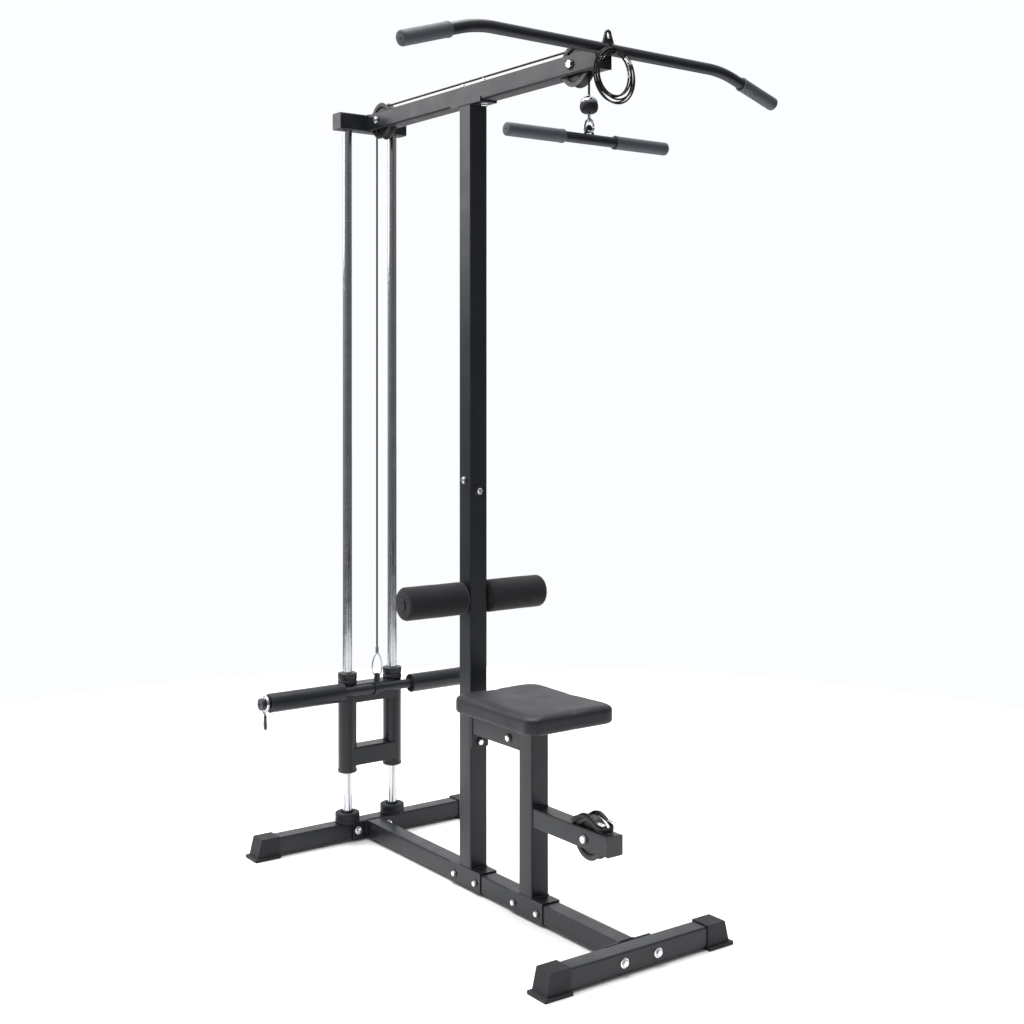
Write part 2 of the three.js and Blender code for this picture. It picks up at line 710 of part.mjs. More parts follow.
// A tube with a plate eye on top; local origin on the tube's axis.
const ROW_EYE = { half: 17, top: 32, round: 8, holeZ: 13.6, holeHalf: 8, holeHeight: 6.6, thickness: 5 };

function eyePlate(plate) {
  const outline = [[-plate.half, 5], [plate.half, 5]];
  const steps = 8;
  for (let i = 0; i <= steps; i++) {
    const angle = (Math.PI * i) / steps;
    outline.push([plate.round * Math.cos(angle), plate.top - plate.round + plate.round * Math.sin(angle)]);
  }
  return outlinePlate(outline, plate.thickness);
}

function eyeHole(plate) {
  const outline = [];
  const steps = 16;
  for (let i = 0; i < steps; i++) {
    const angle = (2 * Math.PI * i) / steps;
    outline.push([plate.holeHalf * Math.cos(angle), plate.holeZ + plate.holeHeight * Math.sin(angle)]);
  }
  return outlinePlate(outline, 4 * plate.thickness);
}

const ROW_TUBE_RADIUS = 11.7;
const ROW_GRIP = { radius: 14.8, length: 150, end: 4 };

function rowBar() {
  const tube = bar(ROW_TUBE_RADIUS, 2 * ROW_BAR_HALF, "x");
  const bore = bar(ROW_TUBE_RADIUS - 2, 2 * ROW_BAR_HALF + 2, "x", 16);
  const plate = cut(solid(eyePlate(ROW_EYE)), eyeHole(ROW_EYE));
  return geometryOf(cut(solid(tube).add(plate), bore));
}

// A rubber grip with a closed outer end, along +X, its inner end at x = 0.
function barGrip(grip, tubeRadius) {
  const bore = tubeRadius + GAP;
  const total = grip.length + grip.end;
  return revolved([
    [0, grip.length],
    [bore, grip.length],
    [bore, 0],
    [grip.radius - 2, 0],
    [grip.radius, 5],
    [grip.radius, total - 3],
    [grip.radius - 3, total],
    [0, total],
  ], "x");
}

// ---------------------------------------------------------------- lat bar
const LAT_EYE = { half: 19, top: 43, round: 9, holeZ: 31, holeHalf: 5, holeHeight: 8, thickness: 6 };
const LAT_BEND = 45; // length of each bend, measured from its corner
const LAT_GRIP = { radius: 16, length: 120, end: 4 };
const LAT_BAR_STEPS = 28;
const LAT_BAR_SIDES = 12;
const LAT_BAR_X = -0.5; // keeps the tilted bar's two ends level with each other about x = 0

// The straight middle, then a smooth bend and a drooping end on each side.
class LatBarPath extends THREE.Curve {
  getPoint(t, target = new THREE.Vector3()) {
    const reach = LAT_BAR_HALF + LAT_BAR_END_RUN;
    const x = (2 * t - 1) * reach;
    const past = Math.abs(x) - LAT_BAR_HALF;
    const slope = LAT_BAR_END_DROP / LAT_BAR_END_RUN;
    let drop = 0;
    if (past >= LAT_BEND) drop = slope * past;
    else if (past > -LAT_BEND) drop = (slope * (past + LAT_BEND) ** 2) / (4 * LAT_BEND);
    return target.set(x, 0, -drop);
  }
}

function latBar() {
  const section = new THREE.Shape().absarc(0, 0, LAT_BAR_RADIUS, 0, 2 * Math.PI, false);
  section.holes.push(new THREE.Path().absarc(0, 0, LAT_BAR_RADIUS - WALL, 0, 2 * Math.PI, true));
  const tube = new THREE.ExtrudeGeometry(section, {
    steps: LAT_BAR_STEPS,
    curveSegments: LAT_BAR_SIDES / 2,
    extrudePath: new LatBarPath(),
  });
  const bore = bar(LAT_BAR_RADIUS - WALL, 80, "x", 12);
  const plate = cut(solid(eyePlate(LAT_EYE)), eyeHole(LAT_EYE), bore);
  return geometryOf(solid(tube).add(plate));
}

// ---------------------------------------------------------------- main cable
// Over both top pulleys, from the rear drop to the front drop, at the pitch radius.
class TopRunPath extends THREE.Curve {
  getPoint(t, target = new THREE.Vector3()) {
    const quarter = (Math.PI / 2) * PITCH_RADIUS;
    const span = REAR_PULLEY_Y - FRONT_PULLEY_Y;
    const along = t * (2 * quarter + span);
    if (along < quarter) {
      const angle = along / PITCH_RADIUS;
      return target.set(
        0,
        REAR_PULLEY_Y + PITCH_RADIUS * Math.cos(angle),
        BEAM_Z + PITCH_RADIUS * Math.sin(angle),
      );
    }
    if (along < quarter + span) {
      return target.set(0, REAR_PULLEY_Y - (along - quarter), BEAM_Z + PITCH_RADIUS);
    }
    const angle = (along - quarter - span) / PITCH_RADIUS;
    return target.set(
      0,
      FRONT_PULLEY_Y - PITCH_RADIUS * Math.sin(angle),
      BEAM_Z + PITCH_RADIUS * Math.cos(angle),
    );
  }
}

const TOP_RUN_STEPS = 78;
const CABLE_SIDES = 8;

function cableTopRun() {
  const section = new THREE.Shape().absarc(0, 0, CABLE_RADIUS, 0, 2 * Math.PI, false);
  return new THREE.ExtrudeGeometry(section, {
    steps: TOP_RUN_STEPS,
    curveSegments: CABLE_SIDES / 2,
    extrudePath: new TopRunPath(),
  });
}

function cableDrop(top, bottom) {
  return bar(CABLE_RADIUS, top - bottom, "z", CABLE_SIDES);
}

// ---------------------------------------------------------------- stowed low cable
// A bundle of turns laid round the low pulley's top: two straight sides that arch up beside the
// pulley, joined by half circles that rest on the arm.
const LOW_COIL = { halfWidth: 18.6, straight: 75, lift: 22, bundle: 4.5 };
const LOW_COIL_STEPS = 40;

// The bundle's centre line, and its outward direction, at a share of the way round.
function lowCoilPoint(share) {
  const { halfWidth, straight, lift } = LOW_COIL;
  const bend = Math.PI * halfWidth;
  const along = share * 2 * (straight + bend);
  const half = along < straight + bend ? 1 : -1;
  const gone = half > 0 ? along : along - straight - bend;
  const angle = Math.max(0, gone - straight) / halfWidth;
  const outward = new THREE.Vector2(half * Math.cos(angle), half * Math.sin(angle));
  const side = Math.min(gone, straight) - straight / 2;
  const x = halfWidth * outward.x;
  const y = half * side + halfWidth * outward.y;
  const reach = straight / 2 + halfWidth;
  return { x, y, z: lift * Math.cos((Math.PI * y) / (2 * reach)) ** 2, outward };
}

function lowCableCoil() {
  const ring = 10;
  const geometry = new THREE.TorusGeometry(ring, LOW_COIL.bundle, 8, LOW_COIL_STEPS);
  const position = geometry.attributes.position;
  for (let i = 0; i < position.count; i++) {
    const [x, y, height] = [position.getX(i), position.getY(i), position.getZ(i)];
    const turn = Math.atan2(y, x) / (2 * Math.PI);
    const centre = lowCoilPoint(turn < -1e-6 ? turn + 1 : Math.max(0, turn));
    const reach = Math.hypot(x, y) - ring;
    position.setXYZ(
      i,
      centre.x + centre.outward.x * reach,
      centre.y + centre.outward.y * reach,
      centre.z + height,
    );
  }
  return geometry;
}

// ---------------------------------------------------------------- assembly
function addBase(root) {
  addStabilizer(root, "front", FRONT_Y, FRONT_HALF_WIDTH, frontStabilizerTube());
  addStabilizer(root, "rear", REAR_Y, REAR_HALF_WIDTH, rearStabilizerTube());
  place(root, "base_tube", baseTube(), powderCoat(), 0, 0, BASE_Z);
}

function addPosts(root) {
  place(root, "lower_upright", lowerUpright(), powderCoat(), 0, UPRIGHT_Y, SADDLE_TOP);
  place(root, "upper_upright", upperUpright(), powderCoat(), 0, UPRIGHT_Y, 0);
  place(root, "upright_sleeve", uprightSleeve(), powderCoat(), 0, UPRIGHT_Y, JOINT_Z);
  place(root, "seat_post", seatPost(), powderCoat(), 0, SEAT_POST_Y, SADDLE_TOP);
  place(root, "seat_beam", seatBeam(), powderCoat(), 0, UPRIGHT_Y, SEAT_BEAM_Z);
}

function addSeat(root) {
  const y = UPRIGHT_Y - SEAT_FRONT + SEAT_LENGTH / 2;
  const z = SEAT_TOP - SEAT_THICKNESS;
  place(root, "seat_pad", seatPad(), vinyl(), 0, y, z);
  place(root, "seat_board", seatBoard(), plywood(), 0, y, z);
}

function addArms(root) {
  place(root, "top_beam", topBeam(), powderCoat(), 0, UPRIGHT_Y, BEAM_Z);
  place(root, "rear_crossbar", rearCrossbar(), powderCoat(), 0, ROD_Y, BEAM_Z);
  place(root, "top_beam_cap", tubeCap(), plastic(), 0, BEAM_FRONT_Y, BEAM_Z);
  place(root, "low_pulley_arm", lowPulleyArm(), powderCoat(), 0, UPRIGHT_Y, LOW_ARM_Z);
}

function addGuides(root) {
  for (const [side, sign] of Object.entries(SIDES)) {
    const middle = (ROD_TOP + ROD_BOTTOM) / 2;
    place(root, `guide_rod_${side}`, guideRod(), chrome(), sign * ROD_X, ROD_Y, middle);
    place(root, `bumper_${side}`, bumper(), rubber(), sign * ROD_X, ROD_Y, BASE_TOP + GAP);
  }
}

function addRollers(root) {
  const tubeLength = 2 * (ROLLER_OUTER + 2);
  const tube = roundTube(ROD_RADIUS, ROD_RADIUS - WALL, tubeLength, "x");
  place(root, "roller_tube", tube, powderCoat(), 0, UPRIGHT_Y, ROLLER_Z);
  for (const [side, sign] of Object.entries(SIDES)) {
    const x = (sign * (ROLLER_INNER + ROLLER_OUTER)) / 2;
    place(root, `foam_roller_${side}`, foamRoller(), foam(), x, UPRIGHT_Y, ROLLER_Z);
  }
}

function addPulleys(root) {
  const places = {
    rear: [REAR_PULLEY_Y, BEAM_Z],
    front: [FRONT_PULLEY_Y, BEAM_Z],
    low: [LOW_PULLEY_Y, LOW_ARM_Z],
  };
  for (const [where, [y, z]] of Object.entries(places)) {
    place(root, `${where}_pulley`, pulley(), plastic(), 0, y, z);
    place(root, `${where}_axle`, axleBolt(), zinc(), 0, y, z);
  }
}

function addCarriage(root) {
  const carriage = new THREE.Group();
  carriage.position.set(0, ROD_Y, 0);
  const barY = WEIGHT_BAR_Y - ROD_Y;
  const middle = (CARRIAGE_TOP + CARRIAGE_BOTTOM) / 2;
  for (const [side, sign] of Object.entries(SIDES)) {
    place(carriage, `slide_tube_${side}`, slideTube(), powderCoat(), sign * ROD_X, 0, middle);
    place(carriage, `slide_bush_${side}`, slideBush(), plastic(), sign * ROD_X, 0, CARRIAGE_TOP);
    const sleeveX = (sign * (SLEEVE_INNER + SLEEVE_OUTER)) / 2;
    place(carriage, `weight_sleeve_${side}`, weightSleeve(), powderCoat(), sleeveX, barY, WEIGHT_BAR_Z);
    const collarX = sign * (SLEEVE_OUTER + GAP + COLLAR.width / 2 + 5);
    const collar = place(carriage, `collar_${side}`, springCollar(), chrome(), collarX, barY, WEIGHT_BAR_Z);
    if (sign < 0) collar.rotation.z = Math.PI;
  }
  place(carriage, "carriage_cross_upper", carriageCross(), powderCoat(), 0, 0, CARRIAGE_TOP - 2 - POST / 2);
  place(carriage, "carriage_cross_lower", carriageCross(), powderCoat(), 0, 0, CARRIAGE_BOTTOM + 14 + POST / 2);
  place(carriage, "weight_bar", weightBar(), powderCoat(), 0, barY, WEIGHT_BAR_Z);
  place(carriage, "cable_eye", cableEye(), powderCoat(), 0, barY, WEIGHT_BAR_Z);
  place(carriage, "cable_shackle", cableShackle(), chrome(), 0, barY, WEIGHT_BAR_Z + EYE.holeZ);
  root.add(carriage);
}

const SHACKLE_TOP = WEIGHT_BAR_Z + EYE.holeZ + LINK_HEIGHT + FERRULE.height - 1;
const STOP_TOP = STOP_BOTTOM + STOP_HEIGHT + GAP + STOP_CAP.height;

function addCable(root) {
  place(root, "cable_top_run", cableTopRun(), rubber());
  const rearTop = BEAM_Z - GAP;
  const rearBottom = SHACKLE_TOP + GAP;
  const rearMiddle = (rearTop + rearBottom) / 2;
  place(root, "cable_rear_drop", cableDrop(rearTop, rearBottom), rubber(), 0, WEIGHT_BAR_Y, rearMiddle);
  const frontBottom = STOP_TOP + GAP;
  const frontMiddle = (rearTop + frontBottom) / 2;
  place(root, "cable_front_drop", cableDrop(rearTop, frontBottom), rubber(), 0, FRONT_DROP_Y, frontMiddle);
  const coilZ = LOW_ARM_Z + TUBE / 2 + GAP + LOW_COIL.bundle;
  place(root, "low_cable_coil", lowCableCoil(), rubber(), 0, LOW_PULLEY_Y, coilZ);
}

function addHook(root) {
  const hook = new THREE.Group();
  hook.position.set(0, FRONT_DROP_Y, STOP_BOTTOM);
  place(hook, "stop_ball", stopBall(), rubber());
  place(hook, "stop_cap", stopCap(), chrome(), 0, 0, STOP_HEIGHT + GAP);
  const swivel = new THREE.Group();
  swivel.rotation.z = CARABINER.turn;
  place(swivel, "swivel_eye", swivelEye(), chrome());
  const carabinerTop = SWIVEL_RING_Z - SWIVEL.ring + SWIVEL.wire + CARABINER.wire + GAP;
  place(swivel, "carabiner", carabiner(), chrome(), 0, 0, carabinerTop);
  place(swivel, "carabiner_gate", carabinerGate(), chrome(), 0, 0, carabinerTop);
  hook.add(swivel);
  root.add(hook);
}

function addRowBar(root) {
  const row = new THREE.Group();
  row.position.set(0, FRONT_DROP_Y, ROW_BAR_Z);
  place(row, "row_bar", rowBar(), powderCoat());
  for (const [side, sign] of Object.entries(SIDES)) {
    const x = sign * (ROW_BAR_HALF + GAP - ROW_GRIP.length);
    const piece = place(row, `row_grip_${side}`, barGrip(ROW_GRIP, ROW_TUBE_RADIUS), grip(), x);
    if (sign < 0) piece.rotation.z = Math.PI;
  }
  root.add(row);
}

function addLatBar(root) {
  const lat = new THREE.Group();
  lat.position.set(LAT_BAR_X, LAT_BAR_Y, LAT_BAR_Z);
  lat.rotation.set(0, -LAT_BAR_TILT, LAT_BAR_TURN);
  place(lat, "lat_bar", latBar(), powderCoat());
  const droop = Math.atan2(LAT_BAR_END_DROP, LAT_BAR_END_RUN);
  for (const [side, sign] of Object.entries(SIDES)) {
    const reach = LAT_BAR_HALF + LAT_BAR_END_RUN - (LAT_GRIP.length - GAP) * Math.cos(droop);
    const drop = LAT_BAR_END_DROP - (LAT_GRIP.length - GAP) * Math.sin(droop);
    const geometry = barGrip(LAT_GRIP, LAT_BAR_RADIUS);
    const piece = place(lat, `lat_grip_${side}`, geometry, grip(), sign * reach, 0, -drop);
    piece.rotation.set(0, sign > 0 ? droop : Math.PI - droop, 0);
  }
  const coil = new THREE.TorusGeometry(COIL_RADIUS, COIL_BUNDLE, 8, 28).rotateX(Math.PI / 2);
  const coilY = -LAT_BAR_RADIUS - COIL_BUNDLE - 0.5;
  place(lat, "extension_coil", coil, rubber(), 0, coilY, COIL_Z - LAT_BAR_Z);
  root.add(lat);
}

const machine = new THREE.Group();
machine.name = "lat_pulldown_machine";
addBase(machine);
addPosts(machine);
addSeat(machine);
addArms(machine);
addGuides(machine);
addRollers(machine);
addPulleys(machine);
addCarriage(machine);
addCable(machine);
addHook(machine);
addRowBar(machine);
addLatBar(machine);

export default machine;
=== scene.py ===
"""Looks of the lat pulldown machine: camera, light, materials and the fine pieces on the CAD frame.

Metres, in the frame of the CAD model: X across the machine, +Y its rear, Z up from the floor.
"""

import math

import bmesh
import bpy
import numpy as np
from mathutils import Matrix, Vector


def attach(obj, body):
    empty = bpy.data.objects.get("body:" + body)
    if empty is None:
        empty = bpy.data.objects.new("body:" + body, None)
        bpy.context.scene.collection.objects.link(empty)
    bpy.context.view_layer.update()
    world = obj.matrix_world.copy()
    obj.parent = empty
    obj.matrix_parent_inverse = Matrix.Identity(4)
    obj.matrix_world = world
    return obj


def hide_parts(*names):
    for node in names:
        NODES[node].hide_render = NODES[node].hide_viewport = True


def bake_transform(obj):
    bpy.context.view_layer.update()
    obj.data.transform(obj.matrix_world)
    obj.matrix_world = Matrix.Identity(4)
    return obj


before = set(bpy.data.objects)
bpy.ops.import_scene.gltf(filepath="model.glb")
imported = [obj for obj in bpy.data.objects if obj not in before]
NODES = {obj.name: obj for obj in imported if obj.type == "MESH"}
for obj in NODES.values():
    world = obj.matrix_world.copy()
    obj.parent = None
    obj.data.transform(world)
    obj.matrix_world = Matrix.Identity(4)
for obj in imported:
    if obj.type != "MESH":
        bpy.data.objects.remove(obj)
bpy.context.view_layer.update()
scene = bpy.context.scene
MM = 0.001

# -------- places, in millimetres
POST = 50.0
TUBE = 45.0
UPRIGHT_Y = 48.75
SEAT_POST_Y = -199.25
FRONT_FACE_Y = -577.25
REAR_FACE_Y = 577.25
BASE_END_Y = 532.0
BASE_Z = 29.5
SADDLE_TOP = 55.3
BEAM_Z = 1949.5
ROD_X = 70.7
ROD_Y = 547.75
ROD_RADIUS = 12.5
WEIGHT_BAR_Y = 509.95
WEIGHT_BAR_Z = 412.8
WEIGHT_BAR_HALF = 345.0
ROLLER_Z = 715.0
PITCH_RADIUS = 38.0
REAR_PULLEY_Y = 471.95
FRONT_PULLEY_Y = -364.25
LOW_PULLEY = (0.0, -413.25, 241.5)
LOW_ARM_END_Y = -489.25
FRONT_DROP_Y = -402.25
STOP_BOTTOM = 1836.0
ROW_BAR_Z = 1780.0
SIDES = {"left": -1, "right": 1}

# -------- camera
camera = bpy.data.objects.new("camera", bpy.data.cameras.new("camera"))
scene.collection.objects.link(camera)
camera.location = (-2.00345, -2.86113, 1.24072)
camera.rotation_euler = (math.radians(90), 0, math.radians(-36.1))
camera.data.sensor_width = 36
camera.data.lens = 50.42
camera.data.shift_y = -0.1254
camera.data.clip_end = 200
scene.camera = camera


# -------- materials
class Nodes:
    """Short calls for one material's node tree."""

    def __init__(self, name):
        self.material = bpy.data.materials.new(name)
        self.material.use_nodes = True
        self.tree = self.material.node_tree
        self.shader = self.tree.nodes["Principled BSDF"]
        self.place = self.add("ShaderNodeTexCoord").outputs["Object"]

    def add(self, kind, **settings):
        node = self.tree.nodes.new(kind)
        for key, value in settings.items():
            setattr(node, key, value)
        return node

    def link(self, output, target):
        self.tree.links.new(output, target)

    def noise(self, scale, detail=2.0, roughness=0.5):
        node = self.add("ShaderNodeTexNoise")
        self.link(self.place, node.inputs["Vector"])
        node.inputs["Scale"].default_value = scale
        node.inputs["Detail"].default_value = detail
        node.inputs["Roughness"].default_value = roughness
        return node.outputs["Fac"]

    def spread(self, value, low, high, start=0.3, end=0.7):
        node = self.add("ShaderNodeMapRange")
        self.link(value, node.inputs["Value"])
        node.inputs["From Min"].default_value = start
        node.inputs["From Max"].default_value = end
        node.inputs["To Min"].default_value = low
        node.inputs["To Max"].default_value = high
        return node.outputs["Result"]

    def two_tone(self, value, dark, light):
        node = self.add("ShaderNodeMix", data_type="RGBA")
        self.link(value, node.inputs["Factor"])
        node.inputs["A"].default_value = (*dark, 1)
        node.inputs["B"].default_value = (*light, 1)
        self.link(node.outputs["Result"], self.shader.inputs["Base Color"])

    def bump(self, height, distance, strength=1.0, under=None):
        node = self.add("ShaderNodeBump")
        self.link(height, node.inputs["Height"])
        node.inputs["Distance"].default_value = distance
        node.inputs["Strength"].default_value = strength
        if under is not None:
            self.link(under, node.inputs["Normal"])
        return node.outputs["Normal"]


def coat(name, dark, light, rough, patch, grain, depth, metallic=0.0, specular=0.5, sheen=0.0):
    """A surface whose colour and gloss wander over patches, with a fine grain in its relief."""
    made = Nodes(name)
    patches = made.noise(patch, 4.0, 0.6)
    made.two_tone(patches, dark, light)
    made.link(made.spread(patches, rough[0], rough[1]), made.shader.inputs["Roughness"])
    made.link(made.bump(made.noise(grain, 3.0), depth), made.shader.inputs["Normal"])
    made.shader.inputs["Metallic"].default_value = metallic
    made.shader.inputs["Specular IOR Level"].default_value = specular
    made.shader.inputs["Sheen Weight"].default_value = sheen
    made.shader.inputs["Sheen Roughness"].default_value = 0.4
    return made.material


def vinyl_coat(name):
    """Upholstery vinyl: pebbled leather grain over a soft sheen."""
    made = Nodes(name)
    patches = made.noise(14.0, 4.0, 0.6)
    made.two_tone(patches, (0.009, 0.010, 0.013), (0.015, 0.016, 0.020))
    made.link(made.spread(patches, 0.42, 0.56), made.shader.inputs["Roughness"])
    cells = made.add("ShaderNodeTexVoronoi", feature="DISTANCE_TO_EDGE")
    made.link(made.place, cells.inputs["Vector"])
    cells.inputs["Scale"].default_value = 520.0
    pebbles = made.bump(made.spread(cells.outputs["Distance"], 0, 1, 0, 0.25), 0.00012, 0.6)
    creases = made.bump(made.noise(60.0, 3.0), 0.0006, 0.35, pebbles)
    made.link(creases, made.shader.inputs["Normal"])
    made.shader.inputs["Specular IOR Level"].default_value = 0.35
    made.shader.inputs["Sheen Weight"].default_value = 0.06
    made.shader.inputs["Sheen Roughness"].default_value = 0.35
    return made.material


def wood_coat(name):
    """Plywood: stretched grain."""
    made = Nodes(name)
    stretch = made.add("ShaderNodeMapping")
    stretch.inputs["Scale"].default_value = (60, 6, 60)
    made.link(made.place, stretch.inputs["Vector"])
    grain = made.add("ShaderNodeTexNoise")
    grain.inputs["Scale"].default_value = 2.0
    grain.inputs["Detail"].default_value = 6.0
    made.link(stretch.outputs["Vector"], grain.inputs["Vector"])
    made.two_tone(grain.outputs["Fac"], (0.24, 0.15, 0.075), (0.46, 0.33, 0.19))
    made.link(made.bump(grain.outputs["Fac"], 0.0004, 0.5), made.shader.inputs["Normal"])
    made.shader.inputs["Roughness"].default_value = 0.75
    return made.material


COATS = {
    "powder_coat": coat(
        "powder_coat", (0.010, 0.0115, 0.0145), (0.014, 0.0158, 0.0195),
        (0.28, 0.38), 18.0, 900.0, 0.00004, specular=0.34,
    ),
    "chrome": coat(
        "chrome", (0.50, 0.51, 0.53), (0.58, 0.59, 0.61),
        (0.10, 0.20), 40.0, 300.0, 0.00001, metallic=1.0,
    ),
    "zinc_bolts": coat(
        "zinc_bolts", (0.72, 0.73, 0.74), (0.84, 0.85, 0.86),
        (0.18, 0.34), 160.0, 1200.0, 0.00003, metallic=1.0,
    ),
    "foot_rubber": coat(
        "foot_rubber", (0.009, 0.010, 0.012), (0.015, 0.016, 0.019),
        (0.46, 0.64), 35.0, 1400.0, 0.00008, specular=0.28,
    ),
    "grip_rubber": coat(
        "grip_rubber", (0.052, 0.060, 0.072), (0.070, 0.080, 0.094),
        (0.55, 0.72), 45.0, 1800.0, 0.00012, sheen=0.1,
    ),
    "black_plastic": coat(
        "black_plastic", (0.009, 0.010, 0.012), (0.014, 0.015, 0.018),
        (0.30, 0.44), 50.0, 1500.0, 0.00003,
    ),
    "pulley_plastic": coat(
        "pulley_plastic", (0.008, 0.009, 0.010), (0.013, 0.014, 0.016),
        (0.32, 0.46), 60.0, 1200.0, 0.00004,
    ),
    "cable_sheath": coat(
        "cable_sheath", (0.006, 0.006, 0.007), (0.010, 0.010, 0.011),
        (0.38, 0.50), 60.0, 500.0, 0.00003, specular=0.3,
    ),
    "foam": coat(
        "foam", (0.009, 0.009, 0.011), (0.014, 0.014, 0.017),
        (0.78, 0.92), 22.0, 1100.0, 0.00035, specular=0.3, sheen=0.15,
    ),
    "seat_vinyl": vinyl_coat("seat_vinyl"),
    "plywood": wood_coat("plywood"),
}


# -------- mesh helpers
def round_angles(count):
    return [2 * math.pi * i / count for i in range(count)]


def outer_axis(sign):
    """The axis that points away from the machine's middle on one side."""
    return "X" if sign > 0 else "-X"


def lathe(profile, sides=48, ribs=None):
    """Points and faces of a solid of revolution about Z from (radius, height) pairs.

    A profile that starts and ends on the axis is closed by it, and any other closes on itself.
    ribs gives (count, depth, low, high): grooves cut along the axis between two heights.
    """
    points, faces, rings = [], [], []
    for radius, height in profile:
        if radius < 1e-6:
            rings.append([len(points)] * sides)
            points.append((0.0, 0.0, height))
            continue
        rings.append(list(range(len(points), len(points) + sides)))
        for i in range(sides):
            angle = 2 * math.pi * i / sides
            reach = radius
            if ribs and ribs[2] <= height <= ribs[3] and math.sin(ribs[0] * angle) < -0.2:
                reach -= ribs[1]
            points.append((reach * math.cos(angle), reach * math.sin(angle), height))
    pairs = list(zip(rings, rings[1:]))
    if profile[0][0] > 1e-6:
        pairs.append((rings[-1], rings[0]))
    for low, high in pairs:
        for i in range(sides):
            j = (i + 1) % sides
            face = [low[i], low[j], high[j], high[i]]
            face = [v for k, v in enumerate(face) if v != face[k - 1]]
            if len(face) > 2:
                faces.append(face)
    return points, faces


def sweep(path, radius, sides=16, closed=False, up=None, section=None):
    """Points and faces of a bar along a path. up is the normal of a flat path's plane."""
    path = np.array(path, float)
    count = len(path)
    if closed:
        along = np.roll(path, -1, 0) - np.roll(path, 1, 0)
    else:
        along = np.gradient(path, axis=0)
    along /= np.linalg.norm(along, axis=1)[:, None]
    if section is None:
        angles = [2 * math.pi * i / sides for i in range(sides)]
        section = [(math.cos(a), math.sin(a)) for a in angles]
    radii = np.broadcast_to(np.asarray(radius, float), (count,))
    across = np.cross(along[0], (0.3, 0.5, 0.8)) if up is None else np.cross(along[0], up)
    points = []
    for i in range(count):
        if up is None:
            across = across - along[i] * np.dot(across, along[i])
        else:
            across = np.cross(along[i], up)
        across = across / np.linalg.norm(across)
        other = np.cross(along[i], across)
        for a, b in section:
            points.append(tuple(path[i] + radii[i] * (a * across + b * other)))
    size = len(section)
    faces = []
    for i in range(count if closed else count - 1):
        k = (i + 1) % count
        for a in range(size):
            b = (a + 1) % size
            faces.append([i * size + a, i * size + b, k * size + b, k * size + a])
    if not closed:
        faces.append(list(range(size))[::-1])
        faces.append([(count - 1) * size + a for a in range(size)])
    return points, faces


def moved(part, matrix):
    points, faces = part
    return [tuple(matrix @ Vector(p)) for p in points], faces


def at(x, y, z, axis="Z"):
    """The matrix that takes a part built along Z to a place, lying along an axis."""
    turns = {
        "Z": Matrix.Identity(4),
        "-Z": Matrix.Rotation(math.pi, 4, "X"),
        "X": Matrix.Rotation(math.pi / 2, 4, "Y"),
        "-X": Matrix.Rotation(-math.pi / 2, 4, "Y"),
        "Y": Matrix.Rotation(-math.pi / 2, 4, "X"),
        "-Y": Matrix.Rotation(math.pi / 2, 4, "X"),
    }
    return Matrix.Translation((x, y, z)) @ turns[axis]


def piece(name, parts, finish, body, replaced=(), matrix=None, sharp=38):
    """A named piece from parts in millimetres, riding on a body."""
    points, faces = [], []
    for part_points, part_faces in parts:
        base = len(points)
        points += part_points
        faces += [[v + base for v in face] for face in part_faces]
    if matrix is not None:
        points = [tuple(matrix @ Vector(p)) for p in points]
    mesh = bpy.data.meshes.new(name)
    mesh.from_pydata([tuple(c * MM for c in p) for p in points], [], faces)
    mesh.validate()
    mesh.shade_smooth()
    mesh.set_sharp_from_angle(angle=math.radians(sharp))
    made = bpy.data.objects.new(name, mesh)
    scene.collection.objects.link(made)
    made.data.materials.append(COATS[finish])
    outward(made)
    if body:
        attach(made, body)
    if replaced:
        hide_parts(*replaced)
    return made


def outward(made):
    """Turns every face outward."""
    work = bmesh.new()
    work.from_mesh(made.data)
    bmesh.ops.recalc_face_normals(work, faces=work.faces)
    work.to_mesh(made.data)
    work.free()


def soften_group():
    """Geometry nodes that join a CAD mesh's split points and mark its sharp edges."""
    group = bpy.data.node_groups.new("soften", "GeometryNodeTree")
    group.interface.new_socket("Geometry", in_out="INPUT", socket_type="NodeSocketGeometry")
    group.interface.new_socket("Geometry", in_out="OUTPUT", socket_type="NodeSocketGeometry")
    add = group.nodes.new
    start = add("NodeGroupInput")
    end = add("NodeGroupOutput")
    merge = add("GeometryNodeMergeByDistance")
    merge.inputs["Distance"].default_value = 0.00002
    smooth = add("GeometryNodeSetShadeSmooth")
    angle = add("GeometryNodeInputMeshEdgeAngle")
    compare = add("FunctionNodeCompare")
    compare.operation = "GREATER_THAN"
    compare.inputs["B"].default_value = math.radians(52)
    sharpen = add("GeometryNodeSetShadeSmooth")
    sharpen.domain = "EDGE"
    sharpen.inputs["Shade Smooth"].default_value = False
    link = group.links.new
    link(start.outputs[0], merge.inputs[0])
    link(merge.outputs[0], smooth.inputs["Geometry"])
    link(smooth.outputs[0], sharpen.inputs["Geometry"])
    link(angle.outputs["Unsigned Angle"], compare.inputs["A"])
    link(compare.outputs["Result"], sharpen.inputs["Selection"])
    link(sharpen.outputs[0], end.inputs[0])
    return group


SOFTEN = soften_group()


